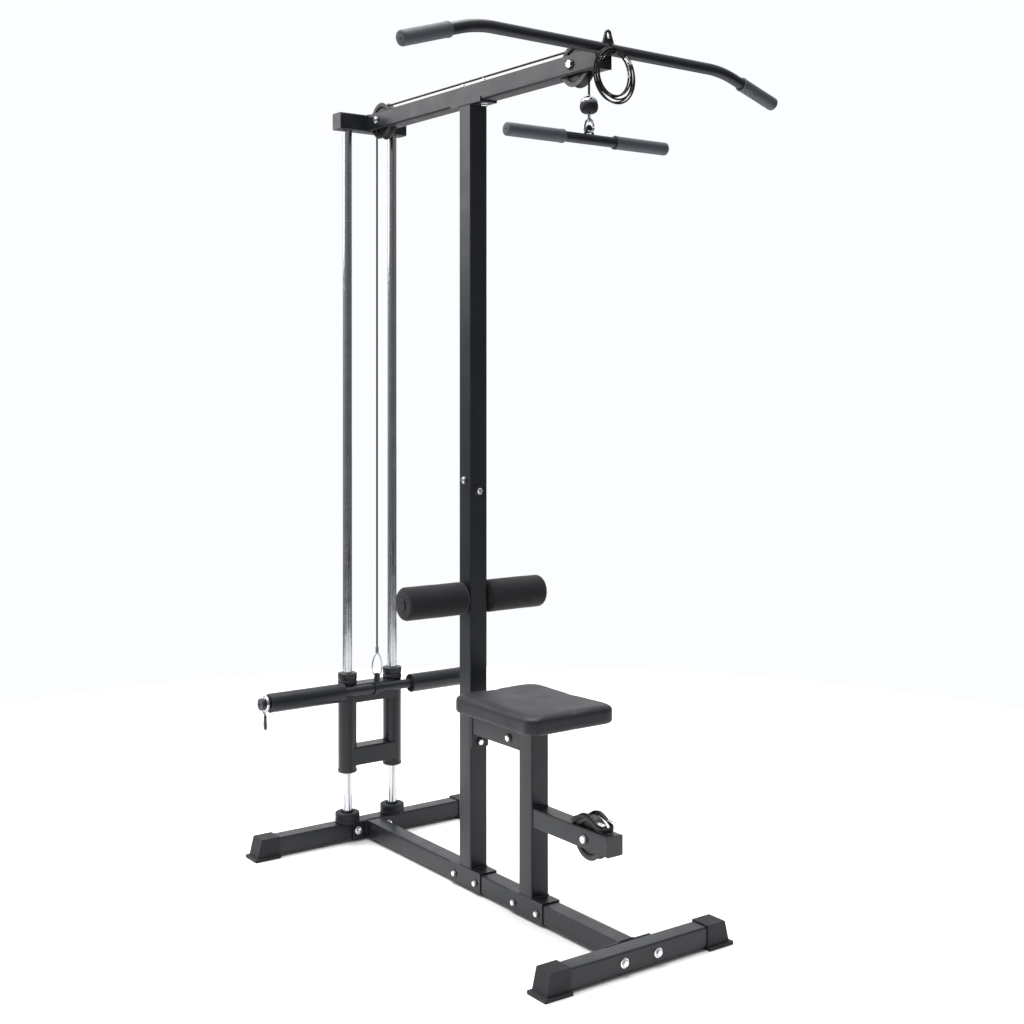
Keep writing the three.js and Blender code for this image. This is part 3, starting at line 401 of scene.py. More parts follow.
def keep(node, finish, bevel=0.0):
    """A CAD node that stays, with its corners shaded round."""
    made = NODES[node]
    made.data.materials.clear()
    made.data.materials.append(COATS[finish])
    made.modifiers.new("soften", "NODES").node_group = SOFTEN
    if bevel:
        edge = made.modifiers.new("edges", "BEVEL")
        edge.width = bevel * MM
        edge.segments = 3
        edge.limit_method = "ANGLE"
        edge.angle_limit = math.radians(40)
        edge.use_clamp_overlap = True
    weighted = made.modifiers.new("weighted", "WEIGHTED_NORMAL")
    weighted.keep_sharp = True
    return made


# -------- the coiled extension cable
LAT_MATRIX = (
    Matrix.Translation((-0.5, -468.25, 1966.0))
    @ Matrix.Rotation(-0.012, 4, "Y")
    @ Matrix.Rotation(0.077, 4, "Z")
)
LAT_RADIUS = 13.0
COIL = {"radius": 53.0, "wire": 2.0, "y": -19.5, "z": -57.0, "gap": 5.3, "start": -38.0, "end": 38.0}
# Each turn's place in the bundle, as its depth and its layer from the inside out.
COIL_LAYERS = [(-0.5, -1), (-0.5, 0), (-0.5, 1), (0.5, 0.5), (0.5, -0.5)]
COIL_STEP = 6  # degrees between the path's points
COIL_LOOSENESS = 1.35  # how much further apart the layers hang at the bottom
COIL_SHIFT_SHARE = 0.96  # of a layer, gained in each turn
COIL_SWAY = 1.6


def coil_point(degrees, turn):
    """A point of the coil, its angle measured from the top, towards the right."""
    low = min(int(turn), len(COIL_LAYERS) - 1)
    high = min(low + 1, len(COIL_LAYERS) - 1)
    share = turn - int(turn)
    share = share * share * (3 - 2 * share)
    depth, layer = [(1 - share) * a + share * b for a, b in zip(COIL_LAYERS[low], COIL_LAYERS[high])]
    angle = math.radians(degrees)
    slack = 1 + COIL_LOOSENESS * (1 - math.cos(angle)) / 2
    reach = COIL["radius"] + layer * COIL["gap"] * slack
    return Vector((
        reach * math.sin(angle) + COIL_SWAY * layer * (1 - math.cos(angle)),
        COIL["y"] - depth * COIL["gap"],
        COIL["z"] + reach * math.cos(angle),
    ))


def coil_path():
    total = 360 * len(COIL_LAYERS) + COIL["end"] - COIL["start"]
    steps = int(total / COIL_STEP)
    path = []
    for i in range(steps + 1):
        gone = total * i / steps
        path.append(coil_point(COIL["start"] + gone, gone / 360 * COIL_SHIFT_SHARE))
    return path


def snap_outline(angle, half, height):
    """A point of a snap hook's pear shape, hanging down from z = 0."""
    depth = (1 - math.sin(angle)) / 2
    return half * (0.72 + 0.42 * depth) * math.cos(angle), -depth * height


EYE_HEIGHT = 16.2  # from a cable's end to the middle of the eye beyond its crimp


def cable_end(name, end, along, body, matrix=None):
    """A crimp on a cable's end, with an eye beyond it."""
    turn = along.to_track_quat("Z", "Y").to_matrix().to_4x4()
    crimp = lathe([(0, -2), (3.4, -2), (4.0, -1), (4.0, 11), (3.2, 12), (0, 12)], 20)
    loop = [(4.8 * math.cos(a), 0.0, EYE_HEIGHT + 4.8 * math.sin(a)) for a in round_angles(24)]
    eye = sweep(loop, 1.3, 10, closed=True, up=(0, 1, 0))
    place = (matrix or Matrix.Identity(4)) @ Matrix.Translation(end) @ turn
    return piece(name, [crimp, eye], "zinc_bolts", body, matrix=place)


def extension_clip(end, along, length):
    """The snap hook in the eye at the extension cable's end."""
    hook = []
    for angle in round_angles(64):
        y, z = snap_outline(angle, 8.0, length)
        hook.append((y, 0.0, z))
    hook_part = sweep(hook, 1.9, 12, closed=True, up=(0, 1, 0))
    nut = moved(lathe([(2.0, 0), (3.2, 0.6), (3.2, 8.4), (2.0, 9)], 6), at(-8.3, 0, -length * 0.62))
    top = end + along * EYE_HEIGHT + Vector((0, 0, 1.4))
    place = LAT_MATRIX @ Matrix.Translation(top) @ Matrix.Rotation(0.35, 4, "Z")
    return piece("extension_cable_clip", [hook_part, nut], "chrome", "lat_handle", matrix=place)


def tie_path():
    """An oval loop round the lat bar and the top of the coil, in the YZ plane."""
    bar, bundle = Vector((0.0, 0.0)), Vector((COIL["y"], COIL["z"] + COIL["radius"]))
    between = (bundle - bar).angle_signed(Vector((1, 0)))
    path = []
    halves = ((bar, LAT_RADIUS + 0.9, between + math.pi / 2), (bundle, 9.6, between - math.pi / 2))
    for centre, radius, start in halves:
        for i in range(13):
            angle = start + math.pi * i / 12
            y, z = centre.x + radius * math.cos(angle), centre.y + radius * math.sin(angle)
            path.append((0.0, y, z))
    return path


def add_extension_cable():
    path = coil_path()
    line = [LAT_MATRIX @ p for p in path]
    part = sweep(line, COIL["wire"], 12)
    coil = piece("extension_cable", [part], "cable_sheath", "lat_handle", ["extension_coil"])
    leave = (path[-1] - path[-2]).normalized()
    enter = (path[0] - path[1]).normalized()
    ends = [
        cable_end("extension_cable_start_eye", path[0], enter, "lat_handle", LAT_MATRIX),
        cable_end("extension_cable_far_eye", path[-1], leave, "lat_handle", LAT_MATRIX),
        extension_clip(path[-1], leave, 34.0),
    ]
    band = [(0.0, -3.5), (1.1, -3.5), (1.1, 3.5), (0.0, 3.5)]
    strap = sweep(tie_path(), 1.0, closed=True, up=(1, 0, 0), section=band)
    tie = piece("coil_tie", [strap], "black_plastic", "lat_handle", matrix=LAT_MATRIX)


add_extension_cable()

# -------- the low cable, stowed on its arm
STOW = {"half_width": 18.6, "straight": 75.0, "lift": 22.0, "z": 270.4}
STOW_TURNS = 3.8
STOW_STEPS = 76  # points in one turn
STOW_TWIST = 3.68  # the strands' distance from the middle of their bundle
STOW_END_LIFT = 10.0  # how far each end stands above the bundle
STOW_END_STEPS = 9  # points over which it drops
STOW_WIRE = 2.5


def stowed_point(turns, end_lift):
    """A point of four strands bundled in an oval loop that arches over the low pulley."""
    half, straight = STOW["half_width"], STOW["straight"]
    bend = math.pi * half
    gone = (turns % 1) * 2 * (straight + bend)
    side = 1
    if gone >= straight + bend:
        gone -= straight + bend
        side = -1
    angle = max(0.0, gone - straight) / half
    facing = Vector((side * math.cos(angle), side * math.sin(angle), 0))
    middle = half * facing
    middle.y += side * (min(gone, straight) - straight / 2)
    reach = straight / 2 + half
    arch = STOW["lift"] * math.cos(math.pi * middle.y / (2 * reach)) ** 2
    twist = math.radians(225 + 90 * turns)
    rise = arch * (1 + 0.06 * math.sin(2.4 * turns)) + STOW_TWIST * math.sin(twist) + end_lift
    spot = Vector((0, LOW_PULLEY[1], STOW["z"] + rise))
    return spot + middle + facing * STOW_TWIST * math.cos(twist)


def add_low_cable():
    count = int(STOW_TURNS * STOW_STEPS)
    path = []
    for i in range(count + 1):
        near_end = max(0.0, 1 - min(i, count - i) / STOW_END_STEPS)
        path.append(stowed_point(i / STOW_STEPS, STOW_END_LIFT * near_end * near_end))
    cable = piece("low_cable", [sweep(path, STOW_WIRE, 12)], "cable_sheath", "frame", ["low_cable_coil"])
    ends = [
        cable_end("low_cable_start_eye", path[0], (path[0] - path[1]).normalized(), "frame"),
        cable_end("low_cable_far_eye", path[-1], (path[-1] - path[-2]).normalized(), "frame"),
    ]


add_low_cable()

# -------- CAD pieces that stay
for kept_node in (
    "front_stabilizer", "rear_stabilizer", "base_tube", "lower_upright", "upper_upright",
    "upright_sleeve", "seat_post", "seat_beam", "top_beam", "rear_crossbar", "low_pulley_arm",
    "carriage_cross_upper", "carriage_cross_lower", "cable_eye",
):
    keep(kept_node, "powder_coat")
for kept_node in ("front_foot_left", "front_foot_right", "rear_foot_left", "rear_foot_right"):
    keep(kept_node, "foot_rubber", 1.6)
keep("top_beam_cap", "black_plastic", 0.5)
keep("seat_board", "plywood")


# -------- fasteners
def hex_head(radius, height):
    """A hexagonal head with its corners turned down, standing on z = 0."""
    return lathe([(0, 0), (radius, 0), (radius, height - 1.2), (radius - 1.6, height), (0, height)], 6)


WASHER_THICK = 1.6


def washer(outer):
    top = WASHER_THICK
    rim = [(outer - 0.3, -0.1), (outer, 0.2), (outer, top - 0.3), (outer - 0.4, top)]
    return lathe([(0, -0.1), *rim, (0, top)], 32)


def stud(radius, length):
    """A bolt's threaded end."""
    profile = [(0, 0), (radius, 0)]
    turns = int(length / 1.25)
    for i in range(turns):
        profile += [(radius - 0.5, (i + 0.5) * 1.25), (radius, (i + 1) * 1.25)]
    profile += [(radius - 1, length + 0.8), (0, length + 0.8)]
    return lathe(profile, 20)


def bolt(name, place, axis, through, radius=8.0, dark_washer=True):
    """A bolt from a place along an axis through a stack, its head outward and its nut on the far side."""
    back = {"X": "-X", "-X": "X", "Y": "-Y", "-Y": "Y", "Z": "-Z", "-Z": "Z"}[axis]
    step = {"X": (1, 0, 0), "Y": (0, 1, 0), "Z": (0, 0, 1)}[axis.strip("-")]
    sign = -1 if axis.startswith("-") else 1
    far = [p - sign * s * through for p, s in zip(place, step)]
    near_m, far_m = at(*place, axis), at(*far, back)
    lift = Matrix.Translation((0, 0, WASHER_THICK))
    head = moved(hex_head(radius, 5.4), near_m @ lift)
    nut = moved(hex_head(radius, 6.5), far_m @ lift)
    end = moved(stud(radius * 0.6, 3.0), far_m @ lift @ Matrix.Translation((0, 0, 6.4)))
    piece(f"{name}_bolt", [head, nut, end], "zinc_bolts", "frame")
    washers = [moved(washer(radius + 3), near_m), moved(washer(radius + 3), far_m)]
    piece(f"{name}_washers", washers, "black_plastic" if dark_washer else "zinc_bolts", "frame")


SADDLE_BOLT_Z = 28.0
for place_name, post_y in (("upright_saddle", UPRIGHT_Y), ("seat_post_saddle", SEAT_POST_Y)):
    for end_name, shift in (("front", -45), ("rear", 45)):
        bolt(f"{place_name}_{end_name}", (-POST / 2, post_y + shift, SADDLE_BOLT_Z), "-X", POST, 7.0)
for side, sign in SIDES.items():
    bolt(f"front_stabilizer_{side}", (sign * 47, FRONT_FACE_Y, BASE_Z), "-Y", 49.3, 8.0, False)
    bolt(f"rear_stabilizer_{side}", (sign * 47, REAR_FACE_Y, BASE_Z), "Y", 49.3, 8.0, False)
bolt("upright_joint_side", (-POST / 2, UPRIGHT_Y, 1004), "-X", POST, 8.0)
bolt("upright_joint_front", (0, UPRIGHT_Y - POST / 2, 978), "-Y", POST, 8.0)
bolt("beam_cradle_front", (0, UPRIGHT_Y - 46, 1923.7), "-Z", 48.3, 8.0, False)
bolt("beam_cradle_rear", (0, UPRIGHT_Y + 44, 1923.7), "-Z", 48.3, 8.0, False)
bolt("seat_beam_flange_low", (0, 19.45, 365), "-Y", 54.3, 7.5)
bolt("seat_beam_flange_high", (0, 19.45, 449), "-Y", 54.3, 7.5)
bolt("seat_beam_stub", (-TUBE / 2, -132, 407.5), "-X", TUBE, 8.0)

for axle, (axle_y, axle_z) in {
    "rear_axle": (REAR_PULLEY_Y, BEAM_Z),
    "front_axle": (FRONT_PULLEY_Y, BEAM_Z),
    "low_axle": (LOW_PULLEY[1], LOW_PULLEY[2]),
}.items():
    near = at(-TUBE / 2, axle_y, axle_z, "-X")
    far = at(TUBE / 2, axle_y, axle_z, "X")
    lift = Matrix.Translation((0, 0, WASHER_THICK))
    shank = moved(lathe([(0, -22), (4.9, -22), (4.9, 22), (0, 22)], 24), at(0, axle_y, axle_z, "X"))
    parts = [
        moved(hex_head(9.2, 5.6), near @ lift),
        moved(hex_head(9.2, 6.4), far @ lift),
        moved(stud(4.9, 2.0), far @ lift @ Matrix.Translation((0, 0, 6.3))),
        shank,
    ]
    piece(f"{axle}_bolt", parts, "zinc_bolts", "frame", [axle])
    washers = [moved(washer(12.5), near), moved(washer(12.5), far)]
    piece(f"{axle}_washers", washers, "black_plastic", "frame")


# -------- welds
def square_loop(half, corner, steps=10):
    """A rounded square's outline, its points about evenly spread."""
    path = []
    for quarter in range(4):
        turn = math.pi / 2 * quarter
        cos, sin = round(math.cos(turn)), round(math.sin(turn))
        local = [(half, -half + corner + (2 * half - 2 * corner) * i / steps) for i in range(steps)]
        arc = [math.pi / 2 * i / 3 for i in range(3)]
        local += [(half - corner + corner * math.cos(a), half - corner + corner * math.sin(a)) for a in arc]
        path += [(cos * x - sin * y, sin * x + cos * y, 0.0) for x, y in local]
    return path


def weld(name, place, axis, half, size=2.3):
    """A bead of weld round a square tube where it meets a plate."""
    fine = []
    loop = square_loop(half, 4.0, 26)
    for i, point in enumerate(loop):
        fine.append(size * (1 + 0.12 * math.sin(i * 2.1) + 0.05 * math.sin(i * 0.7)))
    part = sweep(loop, fine, 8, closed=True, up=(0, 0, 1))
    piece(name, [moved(part, at(*place, axis))], "powder_coat", "frame", sharp=80)


weld("weld_upright_saddle", (0, UPRIGHT_Y, SADDLE_TOP), "Z", POST / 2)
weld("weld_seat_post_saddle", (0, SEAT_POST_Y, SADDLE_TOP), "Z", POST / 2)
weld("weld_upright_cradle", (0, UPRIGHT_Y, 1923.6), "Z", POST / 2, size=1.8)
weld("weld_seat_flange", (0, 19.4, 407.5), "Y", TUBE / 2)
weld("weld_seat_plate", (0, SEAT_POST_Y, 461.6), "Z", POST / 2)
weld("weld_low_arm", (0, -224.4, LOW_PULLEY[2]), "Y", TUBE / 2)
weld("weld_crossbar", (0, 524.9, BEAM_Z), "Y", TUBE / 2, size=1.8)
weld("weld_base_front", (0, -BASE_END_Y + 4, BASE_Z), "Y", TUBE / 2, size=1.8)
weld("weld_base_rear", (0, BASE_END_Y - 4, BASE_Z), "Y", TUBE / 2, size=1.8)


# -------- round pieces of the frame
def tube_profile(inner, outer, low, high, edge=0.6):
    return [
        (inner, low), (outer - edge, low), (outer, low + edge),
        (outer, high - edge), (outer - edge, high), (inner, high),
    ]


def plug(radius, thick, hole=0.0):
    """A round end plug with a soft rim, standing on z = 0."""
    inner = radius - 2.2
    profile = [(0, -6), (inner, -6), (inner, 0), (radius, 0), (radius, thick - 0.8), (radius - 0.9, thick)]
    if hole:
        return lathe([*profile, (hole, thick), (hole, thick - 2.2), (0, thick - 2.2)], 40)
    return lathe([*profile, (0, thick)], 40)


def square_cap(half, thick):
    """A square end cap with soft edges, standing on z = 0."""
    rings = []
    levels = ((-0.2, 3.6, 0.0), (0.0, 3.8, 0.4), (0.0, 3.8, thick - 0.8), (-0.8, 3.0, thick))
    for grow, corner, height in levels:
        rings.append([(x, y, height) for x, y, _ in square_loop(half + grow, corner, 4)])
    points = [p for ring in rings for p in ring]
    size = len(rings[0])
    faces = [list(range(size))[::-1], [(len(rings) - 1) * size + i for i in range(size)]]
    for level in range(len(rings) - 1):
        for i in range(size):
            j = (i + 1) % size
            low = level * size
            faces.append([low + i, low + j, low + size + j, low + size + i])
    return points, faces


for side, sign in SIDES.items():
    rod_end = ROD_RADIUS - 0.8
    rod_side = [(rod_end, 13), (ROD_RADIUS, 13.8), (ROD_RADIUS, 1969), (rod_end, 1969.7)]
    rod = lathe([(0, 13), *rod_side, (0, 1969.7)], 56)
    rod_place = at(sign * ROD_X, ROD_Y, 0)
    piece(f"chrome_rod_{side}", [moved(rod, rod_place)], "chrome", "frame", [f"guide_rod_{side}"])
    cup = lathe([
        (12.8, 52.3), (31.5, 52.3), (33, 53.6), (33, 62), (32, 63.5), (32, 66), (33, 67.5), (33, 75.5),
        (32.3, 78.4), (30, 80), (20, 80), (17.6, 79.2), (16.9, 77.5), (16.9, 75), (12.8, 75),
    ], 64)
    piece(f"rubber_bumper_{side}", [moved(cup, rod_place)], "foot_rubber", "frame", [f"bumper_{side}"])
    cap = moved(square_cap(TUBE / 2, 2.2), at(sign * 102, ROD_Y, BEAM_Z, outer_axis(sign)))
    piece(f"crossbar_cap_{side}", [cap], "black_plastic", "frame")
    tube_end = moved(plug(ROD_RADIUS, 2.6), at(sign * 205, UPRIGHT_Y, ROLLER_Z, outer_axis(sign)))
    piece(f"roller_tube_plug_{side}", [tube_end], "black_plastic", "frame")
low_cap = moved(square_cap(TUBE / 2, 2.0), at(0, LOW_ARM_END_Y, LOW_PULLEY[2], "-Y"))
piece("low_arm_cap", [low_cap], "black_plastic", "frame")
roller_axis = at(0, UPRIGHT_Y, ROLLER_Z, "X")
piece(
    "roller_bar", [moved(lathe(tube_profile(10.5, ROD_RADIUS, -205, 205), 48), roller_axis)],
    "powder_coat", "frame", ["roller_tube"],
)


# -------- foam rollers
def foam_roller():
    """A foam roller from x = 33 to x = 203 with soft ends and a faintly uneven skin."""
    inner, outer, radius, soft = 33.0, 203.0, 40.0, 9.0
    profile = [(12.9, inner)]
    for i in range(9):
        angle = math.pi / 2 * i / 8
        profile.append((radius - soft + soft * math.sin(angle), inner + soft - soft * math.cos(angle)))
    profile += [(radius, inner + soft + (outer - inner - 2 * soft) * i / 20) for i in range(1, 20)]
    for i in range(9):
        angle = math.pi / 2 * i / 8
        profile.append((radius - soft + soft * math.cos(angle), outer - soft + soft * math.sin(angle)))
    profile.append((12.9, outer))
    points, faces = lathe(profile, 64)
    uneven = []
    for x, y, z in points:
        swell = 1.0
        if math.hypot(x, y) > 25:
            angle = math.atan2(y, x)
            swell += 0.004 * math.sin(3 * angle + z / 23) + 0.003 * math.sin(5 * angle - z / 11)
        uneven.append((x * swell, y * swell, z))
    return uneven, faces


for side, sign in SIDES.items():
    roller = moved(foam_roller(), at(0, UPRIGHT_Y, ROLLER_Z, outer_axis(sign)))
    roll = piece(f"foam_roll_{side}", [roller], "foam", f"{side}_roller", [f"foam_roller_{side}"], sharp=60)


# -------- pulleys and the main cable
def pulley_parts():
    half = 12.0
    side = [
        (34.7, 1.6), (35.2, 2.6), (36.6, 3.6), (46.5, 9.0), (48.0, 10.2), (48.5, 11.2), (48.0, half),
        (37.5, half), (36.3, 11.4), (35.0, 8.4), (34.0, 8.0), (17, 8.0), (15.6, 8.6), (14.4, 11.4),
        (13.6, half), (5.2, half),
    ]
    other = [(radius, -x) for radius, x in side][::-1]
    wheel = lathe([*other, *side], 72)
    bearing = lathe([(5.1, -12.4), (11, -12.4), (11, 12.4), (5.1, 12.4)], 40)
    return wheel, bearing


for where, (pulley_y, pulley_z) in {
    "rear": (REAR_PULLEY_Y, BEAM_Z),
    "front": (FRONT_PULLEY_Y, BEAM_Z),
    "low": (LOW_PULLEY[1], LOW_PULLEY[2]),
}.items():
    pulley_matrix = at(0, pulley_y, pulley_z, "X")
    wheel, bearing = pulley_parts()
    wheel_body = f"{where}_pulley_wheel"
    piece(f"{where}_wheel", [moved(wheel, pulley_matrix)], "pulley_plastic", wheel_body, [f"{where}_pulley"])
    piece(f"{where}_wheel_bearing", [moved(bearing, pulley_matrix)], "zinc_bolts", wheel_body)


def top_run_path():
    path = []
    for i in range(25):
        angle = math.pi / 2 * i / 24
        y, z = REAR_PULLEY_Y + PITCH_RADIUS * math.cos(angle), BEAM_Z + PITCH_RADIUS * math.sin(angle)
        path.append((0, y, z))
    for i in range(25):
        angle = math.pi / 2 * i / 24
        y, z = FRONT_PULLEY_Y - PITCH_RADIUS * math.sin(angle), BEAM_Z + PITCH_RADIUS * math.cos(angle)
        path.append((0, y, z))
    return path


def drop_path(y, top, bottom, steps):
    return [(0, y, top + (bottom - top) * i / steps) for i in range(steps + 1)]


piece(
    "main_cable_top", [sweep(top_run_path(), 2.5, 16, up=(1, 0, 0))],
    "cable_sheath", "frame", ["cable_top_run"],
)
for name, y, bottom, rider, node in (
    ("main_cable_rear", WEIGHT_BAR_Y, 525.0, "carriage", "cable_rear_drop"),
    ("main_cable_front", FRONT_DROP_Y, 1876.5, "cable_hook", "cable_front_drop"),
):
    drop = piece(
        name, [sweep(drop_path(y, BEAM_Z + 0.2, bottom, 24), 2.5, 16, up=(1, 0, 0))],
        "cable_sheath", None, [node],
    )
    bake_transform(drop)


# -------- carriage
CARRIAGE_BOTTOM = 192.0
CARRIAGE_TOP = 428.0
BAR_PLUG_RADIUS = 15.8
for side, sign in SIDES.items():
    slide = lathe(tube_profile(22, 25, CARRIAGE_BOTTOM, CARRIAGE_TOP, 0.9), 56)
    slide_place = at(sign * ROD_X, ROD_Y, 0)
    piece(f"slide_{side}", [moved(slide, slide_place)], "powder_coat", "carriage", [f"slide_tube_{side}"])
    head = [
        (12.75, -30), (21.6, -30), (21.6, 0.3), (25.2, 0.3), (26, 1), (26, 7.4), (25.4, 8.2), (24.6, 8.6),
        (24.6, 11.4), (25.4, 12), (26, 12.8), (26, 26.8), (25.4, 28.2), (24, 29), (12.75, 29),
    ]
    bush = moved(lathe(head, 144, ribs=(24, 1.3, 12.5, 27.5)), at(sign * ROD_X, ROD_Y, CARRIAGE_TOP))
    piece(f"guide_bush_{side}", [bush], "black_plastic", "carriage", [f"slide_bush_{side}"])
    ring = [
        (12.9, -4), (24.4, -4), (25.8, -2.8), (26.2, -1), (26.2, 3.4), (25.6, 4.4), (25.1, 4.6), (25.1, 0),
        (21.6, 0), (21.6, 18), (12.9, 18),
    ]
    foot = moved(lathe(ring, 56), at(sign * ROD_X, ROD_Y, CARRIAGE_BOTTOM))
    piece(f"guide_foot_{side}", [foot], "black_plastic", "carriage")
    bar_axis = at(0, WEIGHT_BAR_Y, WEIGHT_BAR_Z, outer_axis(sign))
    sleeve = lathe([(12.8, 105), (23.4, 105), (25, 106.6), (25, 323.4), (23.4, 325), (12.8, 325)], 64)
    piece(f"sleeve_{side}", [moved(sleeve, bar_axis)], "powder_coat", "carriage", [f"weight_sleeve_{side}"])
    end_place = at(sign * WEIGHT_BAR_HALF, WEIGHT_BAR_Y, WEIGHT_BAR_Z, outer_axis(sign))
    end = moved(plug(BAR_PLUG_RADIUS, 5.0, 4.5), end_place)
    piece(f"weight_bar_plug_{side}", [end], "black_plastic", "carriage")
weight_rod = lathe(tube_profile(10, ROD_RADIUS, -WEIGHT_BAR_HALF, WEIGHT_BAR_HALF), 48)
weight_rod = moved(weight_rod, at(0, WEIGHT_BAR_Y, WEIGHT_BAR_Z, "X"))
piece("weight_rod", [weight_rod], "powder_coat", "carriage", ["weight_bar"])


def link_outline(angle):
    """A point of the link's drop shape, narrow at its top."""
    rise = (1 + math.sin(angle)) / 2
    taper = 1 - 0.82 * rise
    return 15 * math.cos(angle) * math.sqrt(taper + 0.18) * 1.1, rise * 62


LINK_Z = WEIGHT_BAR_Z + 32
link_loop = [(x, 0, z) for x, z in map(link_outline, round_angles(96))]
crimp = lathe([(0, 61), (3.4, 61), (4.2, 62), (4.2, 79.6), (3.4, 81), (2.6, 81), (0, 81)], 28)
link_parts = [sweep(link_loop, 2.2, 14, True, (0, 1, 0)), crimp]
link_parts = [moved(part, at(0, WEIGHT_BAR_Y, LINK_Z)) for part in link_parts]
piece("cable_link", link_parts, "chrome", "carriage", ["cable_shackle"])


def collar_parts():
    """Two turns of wire round the bar, and its two legs, local z outward along the bar."""
    wire, radius = 2.2, 18.5
    ring = []
    for i in range(97):
        angle = math.radians(250) - 2 * math.pi * 2.11 * i / 96
        ring.append((radius * math.cos(angle), radius * math.sin(angle), -3.4 + 6.8 * i / 96))
    start = [(-8, -34, -3.4), (-7.8, -29, -3.4), (-7.2, -23.5, -3.4)]
    last = ring[-1]
    finish_leg = [(last[0] * 0.9 + 0.6, last[1] - 5.5, 3.4), (8, -29, 3.4), (8, -34, 3.4)]
    return sweep([*start, *ring, *finish_leg], wire, 12)


def collar_grip(y_shift, x_shift):
    """A tapered grip on a collar's leg, hanging from z = -30 to z = -65."""
    sizes = [
        (4.4, -28.5), (5.2, -30), (5.4, -34), (5.0, -38), (5.6, -44), (6.2, -56), (6.0, -62), (4.6, -65),
        (0, -65.2),
    ]
    points, faces = lathe([(0, -28.5), *sizes], 28)
    return [(x_shift + 0.62 * x, y_shift + y, z) for x, y, z in points], faces


for side, sign in SIDES.items():
    collar_x = sign * (325 + 0.3 + 4.5 + 5)
    face = at(collar_x, WEIGHT_BAR_Y, WEIGHT_BAR_Z)
    stand = Matrix(((0, 0, sign, 0), (sign, 0, 0, 0), (0, 1, 0, 0), (0, 0, 0, 1)))
    piece(
        f"collar_wire_{side}", [moved(collar_parts(), face @ stand)], "chrome", f"{side}_collar",
        [f"collar_{side}"], sharp=60,
    )
    grips = [collar_grip(sign * -8, -sign * 3.4), collar_grip(sign * 8, sign * 3.4)]
    piece(f"collar_grips_{side}", [moved(g, face) for g in grips], "black_plastic", f"{side}_collar")

# -------- front hook
hook_place = at(0, FRONT_DROP_Y, STOP_BOTTOM)
ball = [
    (0, 0.4), (8.6, 0.4), (12.4, 1.4), (15.6, 3.2), (18.0, 6.2), (19.6, 9.8), (20.4, 13.6), (20.5, 17),
    (20.3, 20.4), (19.7, 22.8), (18.6, 23.9), (0, 24),
]
piece("rubber_stop", [moved(lathe(ball, 64), hook_place)], "foot_rubber", "cable_hook", ["stop_ball"], sharp=50)
dome = [
    (0, 24.3), (18.6, 24.3), (19.2, 24.9), (19.2, 27.6), (18.4, 29.4), (16.4, 32.4), (13.4, 35.2), (9.6, 37.6),
    (6.4, 39), (4.8, 40.2), (4.4, 41.2), (0, 41.3),
]
piece("chrome_stop_cap", [moved(lathe(dome, 64), hook_place)], "chrome", "cable_hook", ["stop_cap"], sharp=50)

SWIVEL_TURN = Matrix.Rotation(0.6, 4, "Z")
swivel_place = hook_place @ SWIVEL_TURN
ring_loop = [(6.5 * math.cos(a), 0, -9.5 + 6.5 * math.sin(a)) for a in round_angles(48)]
shank_profile = [(0, -4.4), (3.0, -4.4), (3.6, -3.4), (3.6, -1.6), (5.2, -1.2), (5.2, -0.1), (0, -0.1)]
swivel_shank = lathe(shank_profile, 28)
swivel_parts = [sweep(ring_loop, 2.0, 14, True, (0, 1, 0)), swivel_shank]
swivel_parts = [moved(part, swivel_place) for part in swivel_parts]
piece("swivel_ring", swivel_parts, "chrome", "swivel", ["swivel_eye"])
CARABINER_TOP = -10.9
GATE_TOP, GATE_BOTTOM = -8.0, -20.0
GATE_GAP = 1.4  # at the hinge and at the tip, so that the gate swings clear
ring_points = []
for ring_angle in round_angles(180):
    ring_y, ring_z = snap_outline(ring_angle, 11.0, 29.3)
    ring_points.append((0.0, ring_y, ring_z))
in_gate = [p[1] < 0 and GATE_BOTTOM < p[2] < GATE_TOP for p in ring_points]
first_gate = next(i for i in range(len(ring_points)) if in_gate[i] and not in_gate[i - 1])
ordered = ring_points[first_gate:] + ring_points[:first_gate]
gate_count = sum(in_gate)
snap_place = swivel_place @ Matrix.Translation((0, 0, CARABINER_TOP))
piece(
    "snap_hook", [moved(sweep(ordered[gate_count:], 2.8, 16, up=(1, 0, 0)), snap_place)],
    "chrome", "swivel", ["carabiner"],
)
gate_points = [p for p in ordered[:gate_count] if GATE_BOTTOM + GATE_GAP < p[2] < GATE_TOP - GATE_GAP]
piece(
    "snap_hook_gate", [moved(sweep(gate_points, 2.2, 16, up=(1, 0, 0)), snap_place)],
    "chrome", "gate", ["carabiner_gate"],
)


# -------- bars and grips
def eye_plate(half, top, round_radius, hole_z, hole_half, hole_height, thick):
    """A lug in the XZ plane with an eye through it, its edges eased."""
    count = 64
    outer, hole = [], []
    for i in range(count):
        angle = 2 * math.pi * i / count
        direction = Vector((math.cos(angle), math.sin(angle)))
        outer.append(edge_point(direction, half, top, round_radius, hole_z))
        hole.append(Vector((hole_half * math.cos(angle), hole_z + hole_height * math.sin(angle))))
    centre = Vector((0, hole_z))
    ease, flat = 0.7, thick / 2
    rings = []
    for loop, shift, y in (
        (outer, 0, ease - flat), (outer, -ease, -flat), (hole, ease, -flat), (hole, 0, ease - flat),
        (hole, 0, flat - ease), (hole, ease, flat), (outer, -ease, flat), (outer, 0, flat - ease),
    ):
        rings.append([(p + (p - centre).normalized() * shift, y) for p in loop])
    points = [(p.x, y, p.y) for ring in rings for p, y in ring]
    faces = []
    for level in range(len(rings)):
        above = (level + 1) % len(rings)
        for i in range(count):
            j = (i + 1) % count
            faces.append([level * count + i, level * count + j, above * count + j, above * count + i])
    return points, faces


